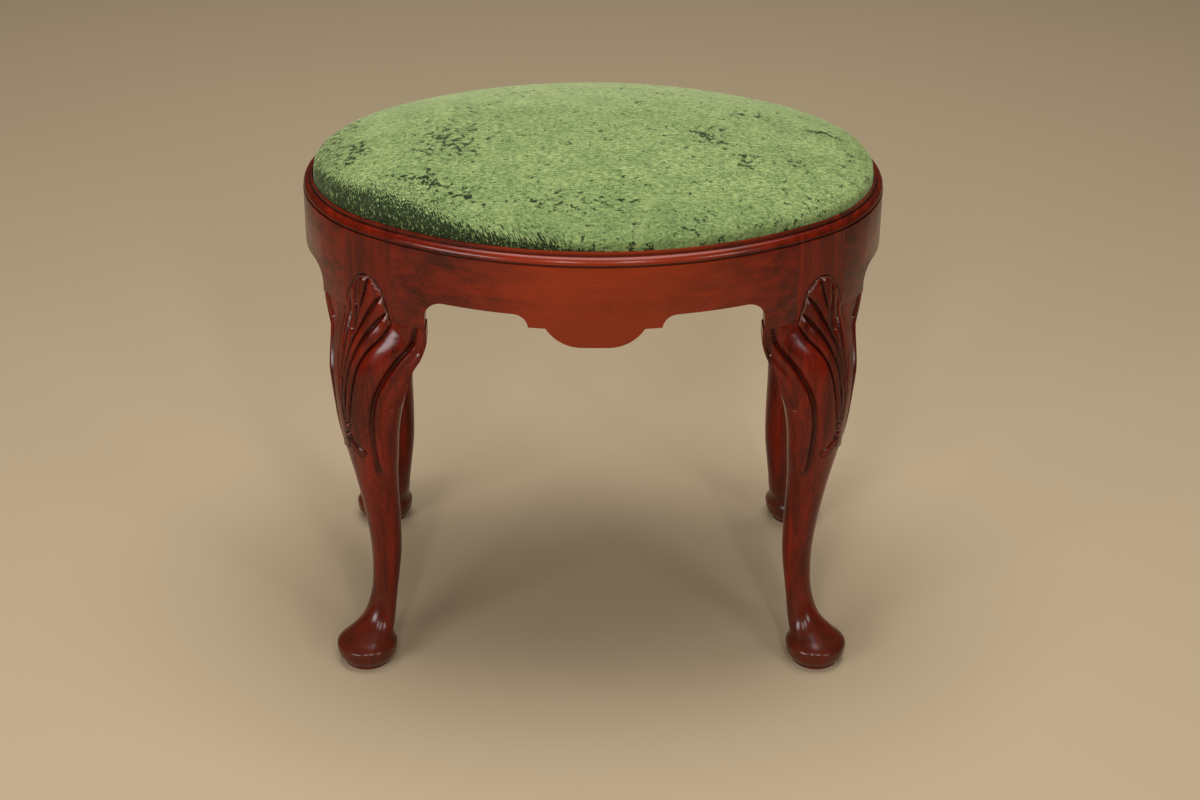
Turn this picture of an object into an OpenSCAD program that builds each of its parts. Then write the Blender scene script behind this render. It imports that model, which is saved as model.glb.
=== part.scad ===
// Oval vanity bench in mahogany: a moulded four-centre oval frame on four
// cabriole legs with pad feet, knee blocks under the rails, and an upholstered
// seat that drops into the rabbet of the frame and lifts straight out.
// Lengths are in millimetres. The floor is z = 0, the front faces -Y and the
// long axis of the oval lies along X.

/* [Piece to show] */
// Piece to draw, or all of them

/* [Oval frame] */
// Length of the oval over the faces of the rails
frame_length = 530; // [440:1:640]
// Depth of the oval over the faces of the rails
frame_depth = 378; // [320:1:440]
// Direction of the face where an end arc runs into a long arc, from the X axis
arc_change = 54.5; // [50:0.5:60]
// Height of the upper edge of the rail faces above the floor
face_top = 440; // [380:1:500]
// Height of the rail faces at their full depth
rail_height = 76; // [60:1:95]
// Thickness of the rails
rail_thickness = 22; // [18:0.5:26]

/* [Cut-outs under the rails] */
// Rise of the arches under the long rails
arch_rise = 29; // [15:0.5:40]
// Radius of an arch's corner beside the knee block
arch_outer_radius = 17; // [8:0.5:25]
// Radius of an arch's corner beside the centre drop
arch_inner_radius = 13; // [6:0.5:20]
// Half width of the centre drop with its two flat steps
drop_step_reach = 58; // [48:0.5:70]
// Half width of the centre drop inside its steps
drop_reach = 43; // [30:0.5:46]
// Half width of the flat bottom of the centre drop
drop_flat_reach = 12; // [4:0.5:20]
// Rise of the flat steps above the bottom of the drop
drop_rise = 17.3; // [8:0.1:24]
// Rise of the arches under the end rails
end_arch_rise = 24.8; // [12:0.1:36]

/* [Rim moulding] */
// Height of the rim above the rail faces
rim_rise = 12; // [9:0.5:16]
// Depth of the rabbet for the seat below the top of the rim
rabbet_depth = 13.2; // [12.6:0.1:17]
// Width of the rim from the rail face to the rabbet
rim_width = 8.6; // [6:0.1:12]
// Height of the sunk line under the ovolo
quirk_height = 2.2; // [1:0.1:3]
// Depth of the sunk line behind the ovolo's face
quirk_depth = 1.2; // [0.6:0.1:2]
// Radius of the ovolo
ovolo_radius = 6.1; // [4:0.1:7]
// Setback of the ovolo's face from the rail face
ovolo_setback = 0.4; // [0.2:0.1:1.2]

/* [Legs] */
// Direction in which the face looks where a leg stands, from the X axis
leg_place = 52.5; // [48:0.5:57]
// Direction in which the knee and the toe of a leg point, from the X axis
leg_turn = 46; // [40:0.5:52]
// Width that the reaches of the leg's curves are shares of
leg_width = 60; // [50:0.5:70]
// Half width of the leg's own stock where the knee blocks join it
leg_stock_reach = 36; // [33:0.5:42]
// Reach of the leg's post along the end rail, from the line of the knee
post_end_reach = 20; // [14:0.5:28]
// Reach of the leg's post along the long rail, from the line of the knee
post_long_reach = 32; // [26:0.5:33]
// Depth of the leg's post behind the rail face
post_depth = 46; // [38:0.5:56]
// Width of the knee blocks beyond the leg's stock on the long sides
knee_block_width = 27.9; // [22:0.1:32]
// Depth of the knee blocks under the rails
knee_block_depth = 20; // [15:0.5:22]
// Depth of the knee blocks at their lower tips
knee_tip_depth = 1.5; // [1:0.1:3]

/* [Joinery] */
// Diameter of the dowels between rails and legs
dowel_diameter = 8; // [6:0.5:10]
// Length of the dowels
dowel_length = 38; // [26:1:44]
// Height of the lower dowel above the bottom of the rail
dowel_low = 38; // [32:1:44]
// Spacing of the two dowels of one joint
dowel_spacing = 22; // [16:1:28]
// Gap all round a dowel or a screw in its hole
hole_clearance = 0.15; // [0.05:0.05:0.3]
// Thickness of the corner blocks behind the legs
corner_block_thickness = 24; // [18:1:32]
// Reach of the corner blocks to each side of the post's middle
corner_block_reach = 58; // [48:1:66]
// Height of the corner blocks
corner_block_height = 50; // [40:1:60]
// Drop of the corner blocks below the ledge for the seat
corner_block_drop = 4; // [3:0.5:8]
// Diameter of the shanks of the corner block screws
screw_diameter = 4; // [3:0.5:5]
// Diameter of the screw heads
screw_head_diameter = 8; // [6:0.5:10]
// Depth of the conical screw heads
screw_head_depth = 3; // [2:0.5:4]
// Length of the screws
screw_length = 57; // [50:1:58]
// Distance of the outer screws from the ends of a corner block
screw_end_distance = 12; // [9:0.5:14]

/* [Seat] */
// Gap all round the seat inside the rim
seat_clearance = 0.8; // [0.4:0.1:2]
// Thickness of the plywood seat board
board_thickness = 12; // [9:0.5:15]
// Gap between the hem of the velvet and the ledge, taken up by its pile
hem_clearance = 0.2; // [0.1:0.05:0.5]
// Gap all round the board inside the velvet
board_clearance = 0.7; // [0.6:0.1:1.5]
// Height of the crown above the edge of the seat
crown_height = 37.5; // [20:0.5:60]
// Roundness of the crown: 2 is an ellipse, more is flatter with a steeper side
crown_power = 2.4; // [2:0.1:4]
// Thickness of the velvet with its pile
cover_thickness = 1.5; // [0.8:0.1:2.5]
// Thickness of the dust cover
dust_thickness = 0.6; // [0.4:0.1:1.5]
// Setback of the dust cover from the backs of the posts
dust_setback = 3; // [2:0.5:8]
// Width of the velvet's hem that the dust cover laps over
dust_lap = 8; // [5:0.5:14]
// Distance between the velvet's staples and the inner edge of the rails
staple_setback = 8; // [4:0.5:16]
// Width of the staples
staple_width = 10; // [6:0.5:12]
// Length of the legs of the staples
staple_length = 8; // [5:0.5:10]
// Thickness of the staple wire
staple_wire = 0.6; // [0.4:0.1:1]

/* [Hidden] */
$fn = 96;
// Overrun of every cut past what it cuts
overrun = 1;

// Colours as they read in the photograph
rail_colour = [0.52, 0.20, 0.11];
leg_colour = [0.55, 0.22, 0.11];
block_colour = [0.50, 0.19, 0.10];
raw_wood_colour = [0.72, 0.55, 0.36];
board_colour = [0.78, 0.62, 0.42];
steel_colour = [0.70, 0.70, 0.68];
foam_colour = [0.93, 0.87, 0.66];
velvet_colour = [0.66, 0.74, 0.50];
dust_colour = [0.12, 0.12, 0.12];

// Four-centre oval: the end arcs and the long arcs share a normal at arc_change
half_length = frame_length / 2;
half_depth = frame_depth / 2;
end_centre = (half_length - half_depth) / (tan(arc_change) + 1 - 1 / cos(arc_change));
end_radius = half_length - end_centre;
long_centre = end_centre * tan(arc_change);
long_radius = half_depth + long_centre;

rail_bottom = face_top - rail_height;
rim_top = face_top + rim_rise;
ledge_top = rim_top - rabbet_depth;
drop_radius = (pow(drop_reach - drop_flat_reach, 2) + pow(drop_rise, 2)) / (2 * drop_rise);

// The line of a leg's knee starts on the rail face at leg_place
leg_origin = [end_centre + end_radius * cos(leg_place), end_radius * sin(leg_place)];
post_middle = (post_long_reach - post_end_reach) / 2;
post_width = post_long_reach + post_end_reach;
corner_block_top = ledge_top - corner_block_drop;
corner_block_bottom = corner_block_top - corner_block_height;
corner_block_inner = post_depth + corner_block_thickness;
screw_height = rail_bottom + dowel_low + dowel_spacing / 2;

// Seat: the velvet is outermost, the board and the foam lie inside it
seat_inset = rim_width + seat_clearance;
board_inset = seat_inset + cover_thickness;
seat_bottom = ledge_top + hem_clearance;
board_bottom = seat_bottom + cover_thickness;
board_top = board_bottom + board_thickness;
dust_inset = post_depth + dust_setback;
hem_inset = dust_inset + dust_lap;
hem_staple_inset = rail_thickness + staple_setback;
dust_staple_inset = dust_inset + dust_lap / 2;
outline_end_steps = 11;
outline_long_steps = 15;
crown_steps = 8;

// Curves of the leg from the floor to the rail, then on up the face of the post.
// Columns: height as a share of the rail's bottom, then as shares of leg_width,
// measured outwards from the rail face: the side edge, the front, the back,
// the half width, and the half width of the swelling on the front.
leg_shares = [
    [0.000, 0.208, 0.567, -0.150, 0.358, 0.358],
    [0.011, 0.208, 0.585, -0.168, 0.377, 0.377],
    [0.030, 0.208, 0.662, -0.245, 0.453, 0.453],
    [0.050, 0.208, 0.673, -0.257, 0.465, 0.465],
    [0.064, 0.185, 0.620, -0.250, 0.435, 0.435],
    [0.078, 0.120, 0.500, -0.255, 0.378, 0.378],
    [0.098, -0.003, 0.288, -0.295, 0.292, 0.292],
    [0.122, -0.095, 0.150, -0.340, 0.245, 0.245],
    [0.160, -0.172, 0.040, -0.385, 0.213, 0.213],
    [0.206, -0.233, -0.028, -0.438, 0.205, 0.205],
    [0.294, -0.280, -0.050, -0.510, 0.230, 0.230],
    [0.387, -0.250, 0.010, -0.510, 0.260, 0.260],
    [0.484, -0.180, 0.118, -0.478, 0.298, 0.298],
    [0.547, -0.130, 0.195, -0.450, 0.350, 0.350],
    [0.607, -0.077, 0.262, -0.425, 0.442, 0.442],
    [0.687, -0.033, 0.358, -0.433, 0.517, 0.517],
    [0.769, -0.050, 0.388, -0.500, 0.612, 0.612],
    [0.852, -0.067, 0.320, -0.600, 0.808, 0.808],
    [0.920, -0.050, 0.233, -0.683, 0.985, 0.900],
    [0.962, -0.025, 0.172, -0.717, 1.060, 0.720],
    [0.985, -0.007, 0.137, -0.730, 1.066, 0.540],
    [1.020, 0.000, 0.096, -0.733, 1.065, 0.430],
    [1.058, 0.000, 0.055, -0.733, 1.065, 0.400],
    [1.104, 0.000, 0.000, -0.733, 1.065, 0.300]
];
leg_rows_shares = [for (row = leg_shares) row[0]];
// Share of the height at which the knee starts to follow the curve of the rails
follow_start_share = 0.73;
// Share of the height at which the swelling starts to turn into the rail face
swell_start_share = 0.82;
// Points along one side of a leg section, and steps between two rows of the table
side_points = 12;
row_steps = 2;
// Steps of a knee block along its height and across its front
block_rows = 9;
block_columns = 5;
// Share of the leg height at which a knee block runs out
block_foot_share = 0.765;
// Half widths, as in the table, at which the knee blocks begin and have their whole width
knee_start_share = 0.6;
knee_full_share = 1.065;
// Reach of the end knee blocks past the leg's stock as a share of the long ones
end_block_share = 0.79;
// Steps of the ovolo on a leg's post
ovolo_steps = 6;
// Staples along one end arc and along one long arc
end_staples = 7;
long_staples = 9;
// Turn along an arc between a post's side and the velvet's nearest staple
staple_clear_turn = 6;

// Soft step from 0 to 1 while x runs from a to b
function soft_step(x, a, b) =
    let (t = max(0, min(1, (x - a) / (b - a))))
    t * t * (3 - 2 * t);

// Slope of one column of the leg table at a row
function share_slope(row, column) =
    let (
        low = max(0, row - 1),
        high = min(len(leg_shares) - 1, row + 1)
    )
    (leg_shares[high][column] - leg_shares[low][column]) / (leg_shares[high][0] - leg_shares[low][0]);

// Row of the leg table below a height share
function row_below(height_share, row = 0) =
    row >= len(leg_shares) - 2 || leg_shares[row + 1][0] > height_share
        ? row
        : row_below(height_share, row + 1);

// Smooth curve through one column of the leg table, in millimetres
function leg_line(height_share, column) =
    let (
        row = row_below(height_share),
        span = leg_shares[row + 1][0] - leg_shares[row][0],
        t = max(0, min(1, (height_share - leg_shares[row][0]) / span)),
        a = leg_shares[row][column],
        b = leg_shares[row + 1][column],
        rise_a = share_slope(row, column) * span,
        rise_b = share_slope(row + 1, column) * span
    )
    leg_width * (
        a * (1 + 2 * t) * (1 - t) * (1 - t)
        + rise_a * t * (1 - t) * (1 - t)
        + b * t * t * (3 - 2 * t)
        - rise_b * t * t * (1 - t)
    );

// Point of the frame's plan in the frame of the rear right leg
function to_leg(p) =
    let (d = p - leg_origin)
    [
        d[0] * cos(leg_turn) + d[1] * sin(leg_turn),
        d[1] * cos(leg_turn) - d[0] * sin(leg_turn)
    ];

// Point of the rear right leg's plan in the frame of the bench
function from_leg(p) =
    leg_origin + [
        p[0] * cos(leg_turn) - p[1] * sin(leg_turn),
        p[0] * sin(leg_turn) + p[1] * cos(leg_turn)
    ];

leg_end_centre = to_leg([end_centre, 0]);
leg_long_centre = to_leg([0, -long_centre]);
arc_change_point = [
    end_centre + end_radius * cos(arc_change),
    end_radius * sin(arc_change)
];
leg_arc_change = to_leg(arc_change_point)[1];

// Place of the rail face, or of a line inset from it, at side place v of a leg
function face_at(v, inset = 0) =
    v < leg_arc_change
        ? leg_end_centre[0] + sqrt(pow(end_radius - inset, 2) - pow(v - leg_end_centre[1], 2))
        : leg_long_centre[0] + sqrt(pow(long_radius - inset, 2) - pow(v - leg_long_centre[1], 2));

// Directions in which the rail face looks at the two sides of a post
end_post_turn = asin(from_leg([face_at(-post_end_reach), -post_end_reach])[1] / end_radius);
long_post_turn = acos(from_leg([face_at(post_long_reach), post_long_reach])[0] / long_radius);

// Swelling across the leg: an ellipse low down, a soft bell where it meets the rail
function swelling(x, height_share) =
    let (
        t = min(1, abs(x)),
        bell = (1 + cos(180 * t)) / 2,
        turn = soft_step(height_share, swell_start_share, 1)
    )
    (1 - turn) * sqrt(1 - t * t) + turn * bell;

// Front surface of the leg and its knee blocks at a height share and side place
function leg_front(height_share, v) =
    let (
        edge = leg_line(height_share, 1),
        front = leg_line(height_share, 2),
        spread = leg_line(height_share, 5),
        follow = soft_step(height_share, follow_start_share, 1),
        middle = post_middle * soft_step(height_share, swell_start_share, 1)
    )
    face_at(v) * follow + edge + (front - edge) * swelling((v - middle) / spread, height_share);

// Back surface of the leg: rounded below the rails, flat behind the post
function leg_back(height_share, v) =
    let (
        edge = leg_line(height_share, 1),
        back = leg_line(height_share, 3),
        half = leg_line(height_share, 4),
        t = min(1, abs(v) / half)
    )
    height_share > 1 ? -post_depth : edge - (edge - back) * sqrt(1 - t * t);

// Side of the leg, flat where its curve is wider than the stock
function leg_side(height_share) = min(leg_stock_reach, leg_line(height_share, 4));

// Reach of a knee block from the line of the knee, on the long or the end side
function block_reach(height_share, direction) =
    let (
        half_share = leg_line(height_share, 4) / leg_width,
        grown_share = (half_share - knee_start_share) / (knee_full_share - knee_start_share),
        share = direction > 0 ? 1 : end_block_share
    )
    leg_side(height_share) + max(knee_tip_depth, knee_block_width * grown_share) * share;

// Side places of the points of a section with a half width
function side_places(half) =
    let (
        step = 180 / side_points,
        turns = [for (i = [0:side_points - 1]) step * (i + 1 / 2) - 90],
        last = turns[side_points - 1],
        limit = min(leg_stock_reach, half * sin(last))
    )
    [for (turn = turns) limit * sin(turn) / sin(last)];

// Ring round the leg, front first, cut flat where the curve is wider than the stock
function leg_ring(height_share) =
    let (
        places = side_places(leg_line(height_share, 4)),
        height = height_share * rail_bottom
    )
    [
        for (v = places) [leg_front(height_share, v), v, height],
        for (i = [side_points - 1:-1:0]) [leg_back(height_share, places[i]), places[i], height]
    ];

// Ring round the top of the leg: its front lies on the moulding, and its back
// runs up the back of the post, in along the ledge and up the rabbet
function post_ring(inset, height, ledge_share, back_height) =
    let (places = side_places(leg_width))
    [
        for (v = places) [face_at(v, inset), v, height],
        for (i = [side_points - 1:-1:0])
            let (
                v = places[i],
                inner = face_at(v, rim_width)
            )
            [-post_depth + (inner + post_depth) * ledge_share, v, back_height]
    ];

// Height shares of the rows of a leg between two rows of the table
function loft_heights(first, last) = [
    for (row = [first:last - 1])
        for (k = [0:row_steps - 1])
            leg_rows_shares[row] + (leg_rows_shares[row + 1] - leg_rows_shares[row]) * k / row_steps,
    leg_rows_shares[last]
];

// Solid through rings that all have the same number of points
module loft(rings) {
    count = len(rings[0]);
    last = len(rings) - 1;
    points = [for (ring = rings) each ring];
    sides = [
        for (row = [0:last - 1])
            for (i = [0:count - 1])
                let (
                    next = (i + 1) % count,
                    a = row * count + i,
                    b = row * count + next,
                    c = (row + 1) * count + next,
                    d = (row + 1) * count + i
                )
                each [[a, d, c], [a, c, b]]
    ];
    bottom = [[for (i = [0:count - 1]) i]];
    top = [[for (i = [0:count - 1]) last * count + count - 1 - i]];
    polyhedron(points = points, faces = concat(bottom, sides, top), convexity = 6);
}

// Puts a child drawn for the rear right leg, in the leg's own frame, in place
module at_leg() {
    translate([leg_origin[0], leg_origin[1], 0])
        rotate([0, 0, leg_turn])
            children();
}

// Turns a child drawn for the rear right leg into the one for another leg
module for_leg(side, front) {
    mirror([side < 0 ? 1 : 0, 0, 0])
        mirror([0, front < 0 ? 1 : 0, 0])
            children();
}

// Section of the frame: x = 0 is the rail face, y is the height above the floor
module frame_section(depth) {
    ovolo_base = face_top + quirk_height;
    ovolo_top = ovolo_base + ovolo_radius;
    ovolo_inner = ovolo_setback + ovolo_radius;
    translate([-depth, rail_bottom])
        square([depth, ledge_top - rail_bottom]);
    translate([-rim_width, rail_bottom])
        square([rim_width, rail_height]);
    translate([-rim_width, rail_bottom])
        square([rim_width - ovolo_setback - quirk_depth, rail_height + quirk_height + overrun]);
    translate([-rim_width, rail_bottom])
        square([rim_width - ovolo_inner, rim_top - rail_bottom]);
    translate([-ovolo_inner, ovolo_base])
        intersection() {
            circle(r = ovolo_radius);
            translate([-overrun, 0])
                square([ovolo_radius + 2 * overrun, ovolo_radius + overrun]);
        }
}

// Full frame section swept along one end arc
module end_arc_sweep(depth) {
    translate([end_centre, 0, 0])
        rotate([0, 0, -arc_change])
            rotate_extrude(angle = 2 * arc_change)
                translate([end_radius, 0])
                    frame_section(depth);
}

// Full frame section swept along one long arc
module long_arc_sweep(depth) {
    translate([0, -long_centre, 0])
        rotate([0, 0, arc_change])
            rotate_extrude(angle = 180 - 2 * arc_change)
                translate([long_radius, 0])
                    frame_section(depth);
}

// All that lies beyond one side of a leg's post, above a height
module beyond_post(side_place, direction, height) {
    reach = frame_length;
    at_leg()
        translate([-reach, direction > 0 ? side_place : side_place - reach, height])
            cube([2 * reach, reach, rim_top + overrun - height]);
}

// Room of the two dowels at one side of a post, as solids or as their holes
module post_dowels(direction, gap) {
    side_place = direction > 0 ? post_long_reach : -post_end_reach;
    middle = side_place + direction * dowel_length / 4;
    set_in = face_at(middle, rail_thickness / 2);
    for (k = [0, 1])
        at_leg()
            translate([set_in, side_place - dowel_length / 2 - gap, rail_bottom + dowel_low + k * dowel_spacing])
                rotate([-90, 0, 0])
                    cylinder(d = dowel_diameter + 2 * gap, h = dowel_length + 2 * gap);
}

// Places of the three screws of a corner block along the block
screw_places = [
    post_middle - corner_block_reach + screw_end_distance,
    post_middle,
    post_middle + corner_block_reach - screw_end_distance
];

// The three screws of one corner block, as solids or as their holes
module block_screws(gap) {
    for (v = screw_places)
        at_leg()
            translate([-corner_block_inner, v, screw_height])
                rotate([0, 90, 0]) {
                    cylinder(d = screw_diameter + 2 * gap, h = screw_length + gap);
                    cylinder(
                        d1 = screw_head_diameter + 2 * gap,
                        d2 = screw_diameter + 2 * gap,
                        h = screw_head_depth
                    );
                }
}

// Rings of the post from the top of the rail face to the top of the rim
function post_rings() =
    let (
        sunk_inset = ovolo_setback + quirk_depth,
        ovolo_base = face_top + quirk_height,
        lift = rabbet_depth / (ovolo_steps + 2)
    )
    [
        post_ring(0, face_top, 0, ledge_top),
        post_ring(sunk_inset, face_top, 1 / 2, ledge_top),
        post_ring(sunk_inset, ovolo_base, 1, ledge_top),
        for (k = [0:ovolo_steps])
            let (turn = 90 * k / ovolo_steps)
            post_ring(
                ovolo_setback + ovolo_radius * (1 - cos(turn)),
                ovolo_base + ovolo_radius * sin(turn),
                1,
                ledge_top + lift * (k + 1)
            ),
        post_ring(ovolo_setback + ovolo_radius, rim_top, 1, rim_top)
    ];

// Rear right leg, from its pad foot to the rim moulding on its post
module leg_solid() {
    difference() {
        at_leg()
            loft([
                for (h = loft_heights(0, len(leg_shares) - 1)) leg_ring(h),
                each post_rings()
            ]);
        beyond_post(post_long_reach, 1, rail_bottom);
        beyond_post(-post_end_reach, -1, rail_bottom);
        for (direction = [-1, 1])
            post_dowels(direction, hole_clearance);
        block_screws(hole_clearance);
    }
}

// Knee block of the rear right leg on its long side, or on its end side
module knee_block_solid(direction) {
    heights = [
        for (i = [0:block_rows])
            block_foot_share + (1 - block_foot_share) * i / block_rows
    ];
    sections = [
        for (h = heights)
            let (
                side = leg_side(h),
                reach = block_reach(h, direction),
                rise = (h - block_foot_share) / (1 - block_foot_share),
                depth = knee_tip_depth + (knee_block_depth - knee_tip_depth) * sqrt(rise),
                end_depth = min(depth, reach - side),
                tip = [leg_front(h, direction * reach), direction * reach],
                inwards = direction > 0
                    ? [-sin(leg_turn), -cos(leg_turn)]
                    : [-cos(leg_turn), sin(leg_turn)],
                seam = [leg_front(h, direction * side), direction * side]
            )
            [
                for (i = [0:block_columns])
                    let (
                        span = (reach - side) * sin(90 * i / block_columns),
                        v = direction * (side + span)
                    )
                    [leg_front(h, v), v],
                tip + end_depth * inwards,
                seam - [depth, 0]
            ]
    ];
    at_leg()
        loft([
            for (k = [0:block_rows])
                let (
                    ring = [for (p = sections[k]) [p[0], p[1], heights[k] * rail_bottom]],
                    last = len(ring) - 1
                )
                direction > 0 ? ring : [for (i = [last:-1:0]) ring[i]]
        ]);
}

// Corner block behind the rear right leg, fitted to both rails and the post
module corner_block_solid() {
    difference() {
        intersection() {
            translate([0, 0, corner_block_bottom])
                oval_plate(rail_thickness, corner_block_height);
            at_leg()
                translate([-corner_block_inner, post_middle - corner_block_reach, corner_block_bottom - overrun])
                    cube([
                        corner_block_inner + leg_width,
                        2 * corner_block_reach,
                        corner_block_height + 2 * overrun
                    ]);
        }
        at_leg()
            translate([-post_depth, -post_end_reach, corner_block_bottom - overrun])
                cube([
                    post_depth + leg_width,
                    post_width,
                    corner_block_height + 2 * overrun
                ]);
        block_screws(hole_clearance);
    }
}

// Flat outline of the oval, inset from the rail faces. The end circles lie
// inside the long ones and touch them where the arcs change.
module oval_outline(inset) {
    change_x = end_centre + (end_radius - inset) * cos(arc_change);
    intersection() {
        intersection_for (side = [-1, 1])
            translate([0, side * long_centre])
                circle(r = long_radius - inset);
        square([2 * change_x, frame_depth], center = true);
    }
    for (side = [-1, 1])
        translate([side * end_centre, 0])
            circle(r = end_radius - inset);
}

// Plate with the oval outline
module oval_plate(inset, thickness) {
    linear_extrude(height = thickness)
        oval_outline(inset);
}

// Corner of the cut-outs under a rail: a rectangle with two rounded upper corners
module arch_void(from, to, rise, low_radius, high_radius) {
    floor_line = rail_bottom - overrun;
    top = rail_bottom + rise;
    translate([from, floor_line])
        square([low_radius, top - low_radius - floor_line]);
    translate([to - high_radius, floor_line])
        square([high_radius, top - high_radius - floor_line]);
    translate([from + low_radius, floor_line])
        square([to - from - low_radius - high_radius, top - floor_line]);
    translate([from + low_radius, top - low_radius])
        circle(r = low_radius);
    translate([to - high_radius, top - high_radius])
        circle(r = high_radius);
}

// What is sawn out under a long rail, seen from the front
module long_rail_void() {
    reach = from_leg([face_at(block_reach(1, 1)), block_reach(1, 1)])[0];
    for (side = [0, 1])
        mirror([side, 0])
            difference() {
                union() {
                    arch_void(drop_step_reach, reach, arch_rise, arch_inner_radius, arch_outer_radius);
                    translate([drop_flat_reach, rail_bottom - overrun])
                        square([drop_step_reach + arch_inner_radius - drop_flat_reach, drop_rise + overrun]);
                }
                translate([drop_flat_reach, rail_bottom + drop_radius])
                    circle(r = drop_radius);
            }
}

// What is sawn out under an end rail, seen from the end
module end_rail_void() {
    reach = from_leg([face_at(-block_reach(1, -1)), -block_reach(1, -1)])[1];
    arch_void(-reach, reach, end_arch_rise, arch_outer_radius, arch_outer_radius);
}

// Rear rail
module long_rail_solid() {
    difference() {
        long_arc_sweep(rail_thickness);
        for (side = [0, 1])
            mirror([side, 0, 0]) {
                beyond_post(post_long_reach, -1, rail_bottom - overrun);
                post_dowels(1, hole_clearance);
                block_screws(hole_clearance);
            }
        translate([0, half_depth + overrun, 0])
            rotate([90, 0, 0])
                linear_extrude(height = half_depth)
                    long_rail_void();
    }
}

// Right rail
module end_rail_solid() {
    difference() {
        end_arc_sweep(rail_thickness);
        for (side = [0, 1])
            mirror([0, side, 0]) {
                beyond_post(-post_end_reach, 1, rail_bottom - overrun);
                post_dowels(-1, hole_clearance);
                block_screws(hole_clearance);
            }
        translate([half_length + overrun, 0, 0])
            rotate([90, 0, -90])
                linear_extrude(height = half_length)
                    end_rail_void();
    }
}

// Point of the oval inset from the rail faces, at a step round the outline
function outline_point(step, inset) =
    let (
        quarter = outline_end_steps + outline_long_steps,
        half_turn = step >= quarter ? -1 : 1,
        k = step % quarter,
        on_end = k < outline_end_steps,
        angle = on_end
            ? -arc_change + 2 * arc_change * k / outline_end_steps
            : arc_change + (180 - 2 * arc_change) * (k - outline_end_steps) / outline_long_steps
    )
    half_turn * (on_end
        ? [end_centre + (end_radius - inset) * cos(angle), (end_radius - inset) * sin(angle)]
        : [(long_radius - inset) * cos(angle), (long_radius - inset) * sin(angle) - long_centre]);

outline_steps = 2 * (outline_end_steps + outline_long_steps);

// Ring of the oval shrunk by a share towards the middle, at one height
function oval_ring(inset, share, z) = [
    for (step = [0:outline_steps - 1])
        let (p = outline_point(step, inset))
        [share * p[0], share * p[1], z]
];

// Rings of the crowned surface from its edge to just short of the middle
function crown_rings(inset, edge_height, rise) = [
    for (k = [0:crown_steps - 1])
        let (
            turn = 90 * k / crown_steps,
            share = pow(cos(turn), 2 / crown_power),
            lift = rise * sin(turn)
        )
        oval_ring(inset, share, edge_height + lift)
];

// Closed solid through rings, with a point at each end
module ring_solid(rings, first_point, last_point) {
    count = outline_steps;
    last = len(rings) - 1;
    points = concat([first_point], [for (ring = rings) each ring], [last_point]);
    first_fan = [for (i = [0:count - 1]) [0, 1 + (i + 1) % count, 1 + i]];
    walls = [
        for (row = [0:last - 1])
            for (i = [0:count - 1])
                let (
                    a = 1 + row * count + i,
                    b = 1 + row * count + (i + 1) % count,
                    c = b + count,
                    d = a + count
                )
                each [[a, b, c], [a, c, d]]
    ];
    end_fan = [
        for (i = [0:count - 1])
            [1 + last * count + i, 1 + last * count + (i + 1) % count, len(points) - 1]
    ];
    polyhedron(points = points, faces = concat(first_fan, walls, end_fan), convexity = 8);
}

// Velvet: crown outside, turned under the board, and back up over the foam
module seat_cover_solid() {
    inner_crown = crown_rings(board_inset, board_top, crown_height - cover_thickness);
    rings = concat(
        [for (k = [crown_steps - 1:-1:0]) inner_crown[k]],
        [
            oval_ring(board_inset, 1, board_bottom),
            oval_ring(hem_inset, 1, board_bottom),
            oval_ring(hem_inset, 1, seat_bottom),
            oval_ring(seat_inset, 1, seat_bottom)
        ],
        crown_rings(seat_inset, board_top, crown_height)
    );
    ring_solid(
        rings,
        [0, 0, board_top + crown_height - cover_thickness],
        [0, 0, board_top + crown_height]
    );
}

// Foam: flat on the board, crowned against the velvet
module seat_foam_solid() {
    ring_solid(
        crown_rings(board_inset, board_top, crown_height - cover_thickness),
        [0, 0, board_top],
        [0, 0, board_top + crown_height - cover_thickness]
    );
}

// One staple, seen with its crown below and its legs pointing up
module staple() {
    translate([-staple_wire / 2, staple_width / 2, -staple_wire])
        rotate([90, 0, 0])
            linear_extrude(height = staple_width)
                square([staple_wire, staple_wire]);
    for (side = [-1, 1])
        translate([
            -staple_wire / 2,
            side * (staple_width - staple_wire) / 2 - staple_wire / 2,
            -staple_wire
        ])
            cube([staple_wire, staple_wire, staple_length + staple_wire]);
}

// Staples along both end arcs and both long arcs, each arc used to a half span
module staples_round(inset, crown_top, end_span, long_span) {
    for (turn = [0, 180])
        rotate([0, 0, turn]) {
            for (k = [0:end_staples - 1])
                translate([end_centre, 0, 0])
                    rotate([0, 0, end_span * ((2 * k + 1) / end_staples - 1)])
                        translate([end_radius - inset, 0, crown_top])
                            staple();
            for (k = [0:long_staples - 1])
                translate([0, -long_centre, 0])
                    rotate([0, 0, 90 + long_span * ((2 * k + 1) / long_staples - 1)])
                        translate([long_radius - inset, 0, crown_top])
                            staple();
        }
}

module front_left_leg() color(leg_colour) for_leg(-1, -1) leg_solid();

module front_right_leg() color(leg_colour) for_leg(1, -1) leg_solid();

module rear_left_leg() color(leg_colour) for_leg(-1, 1) leg_solid();

module rear_right_leg() color(leg_colour) for_leg(1, 1) leg_solid();

module front_rail() color(rail_colour) for_leg(1, -1) long_rail_solid();

module rear_rail() color(rail_colour) long_rail_solid();

module left_rail() color(rail_colour) for_leg(-1, 1) end_rail_solid();

module right_rail() color(rail_colour) end_rail_solid();

module front_left_long_knee_block() color(block_colour) for_leg(-1, -1) knee_block_solid(1);

module front_left_end_knee_block() color(block_colour) for_leg(-1, -1) knee_block_solid(-1);

module front_right_long_knee_block() color(block_colour) for_leg(1, -1) knee_block_solid(1);

module front_right_end_knee_block() color(block_colour) for_leg(1, -1) knee_block_solid(-1);

module rear_left_long_knee_block() color(block_colour) for_leg(-1, 1) knee_block_solid(1);

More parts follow.
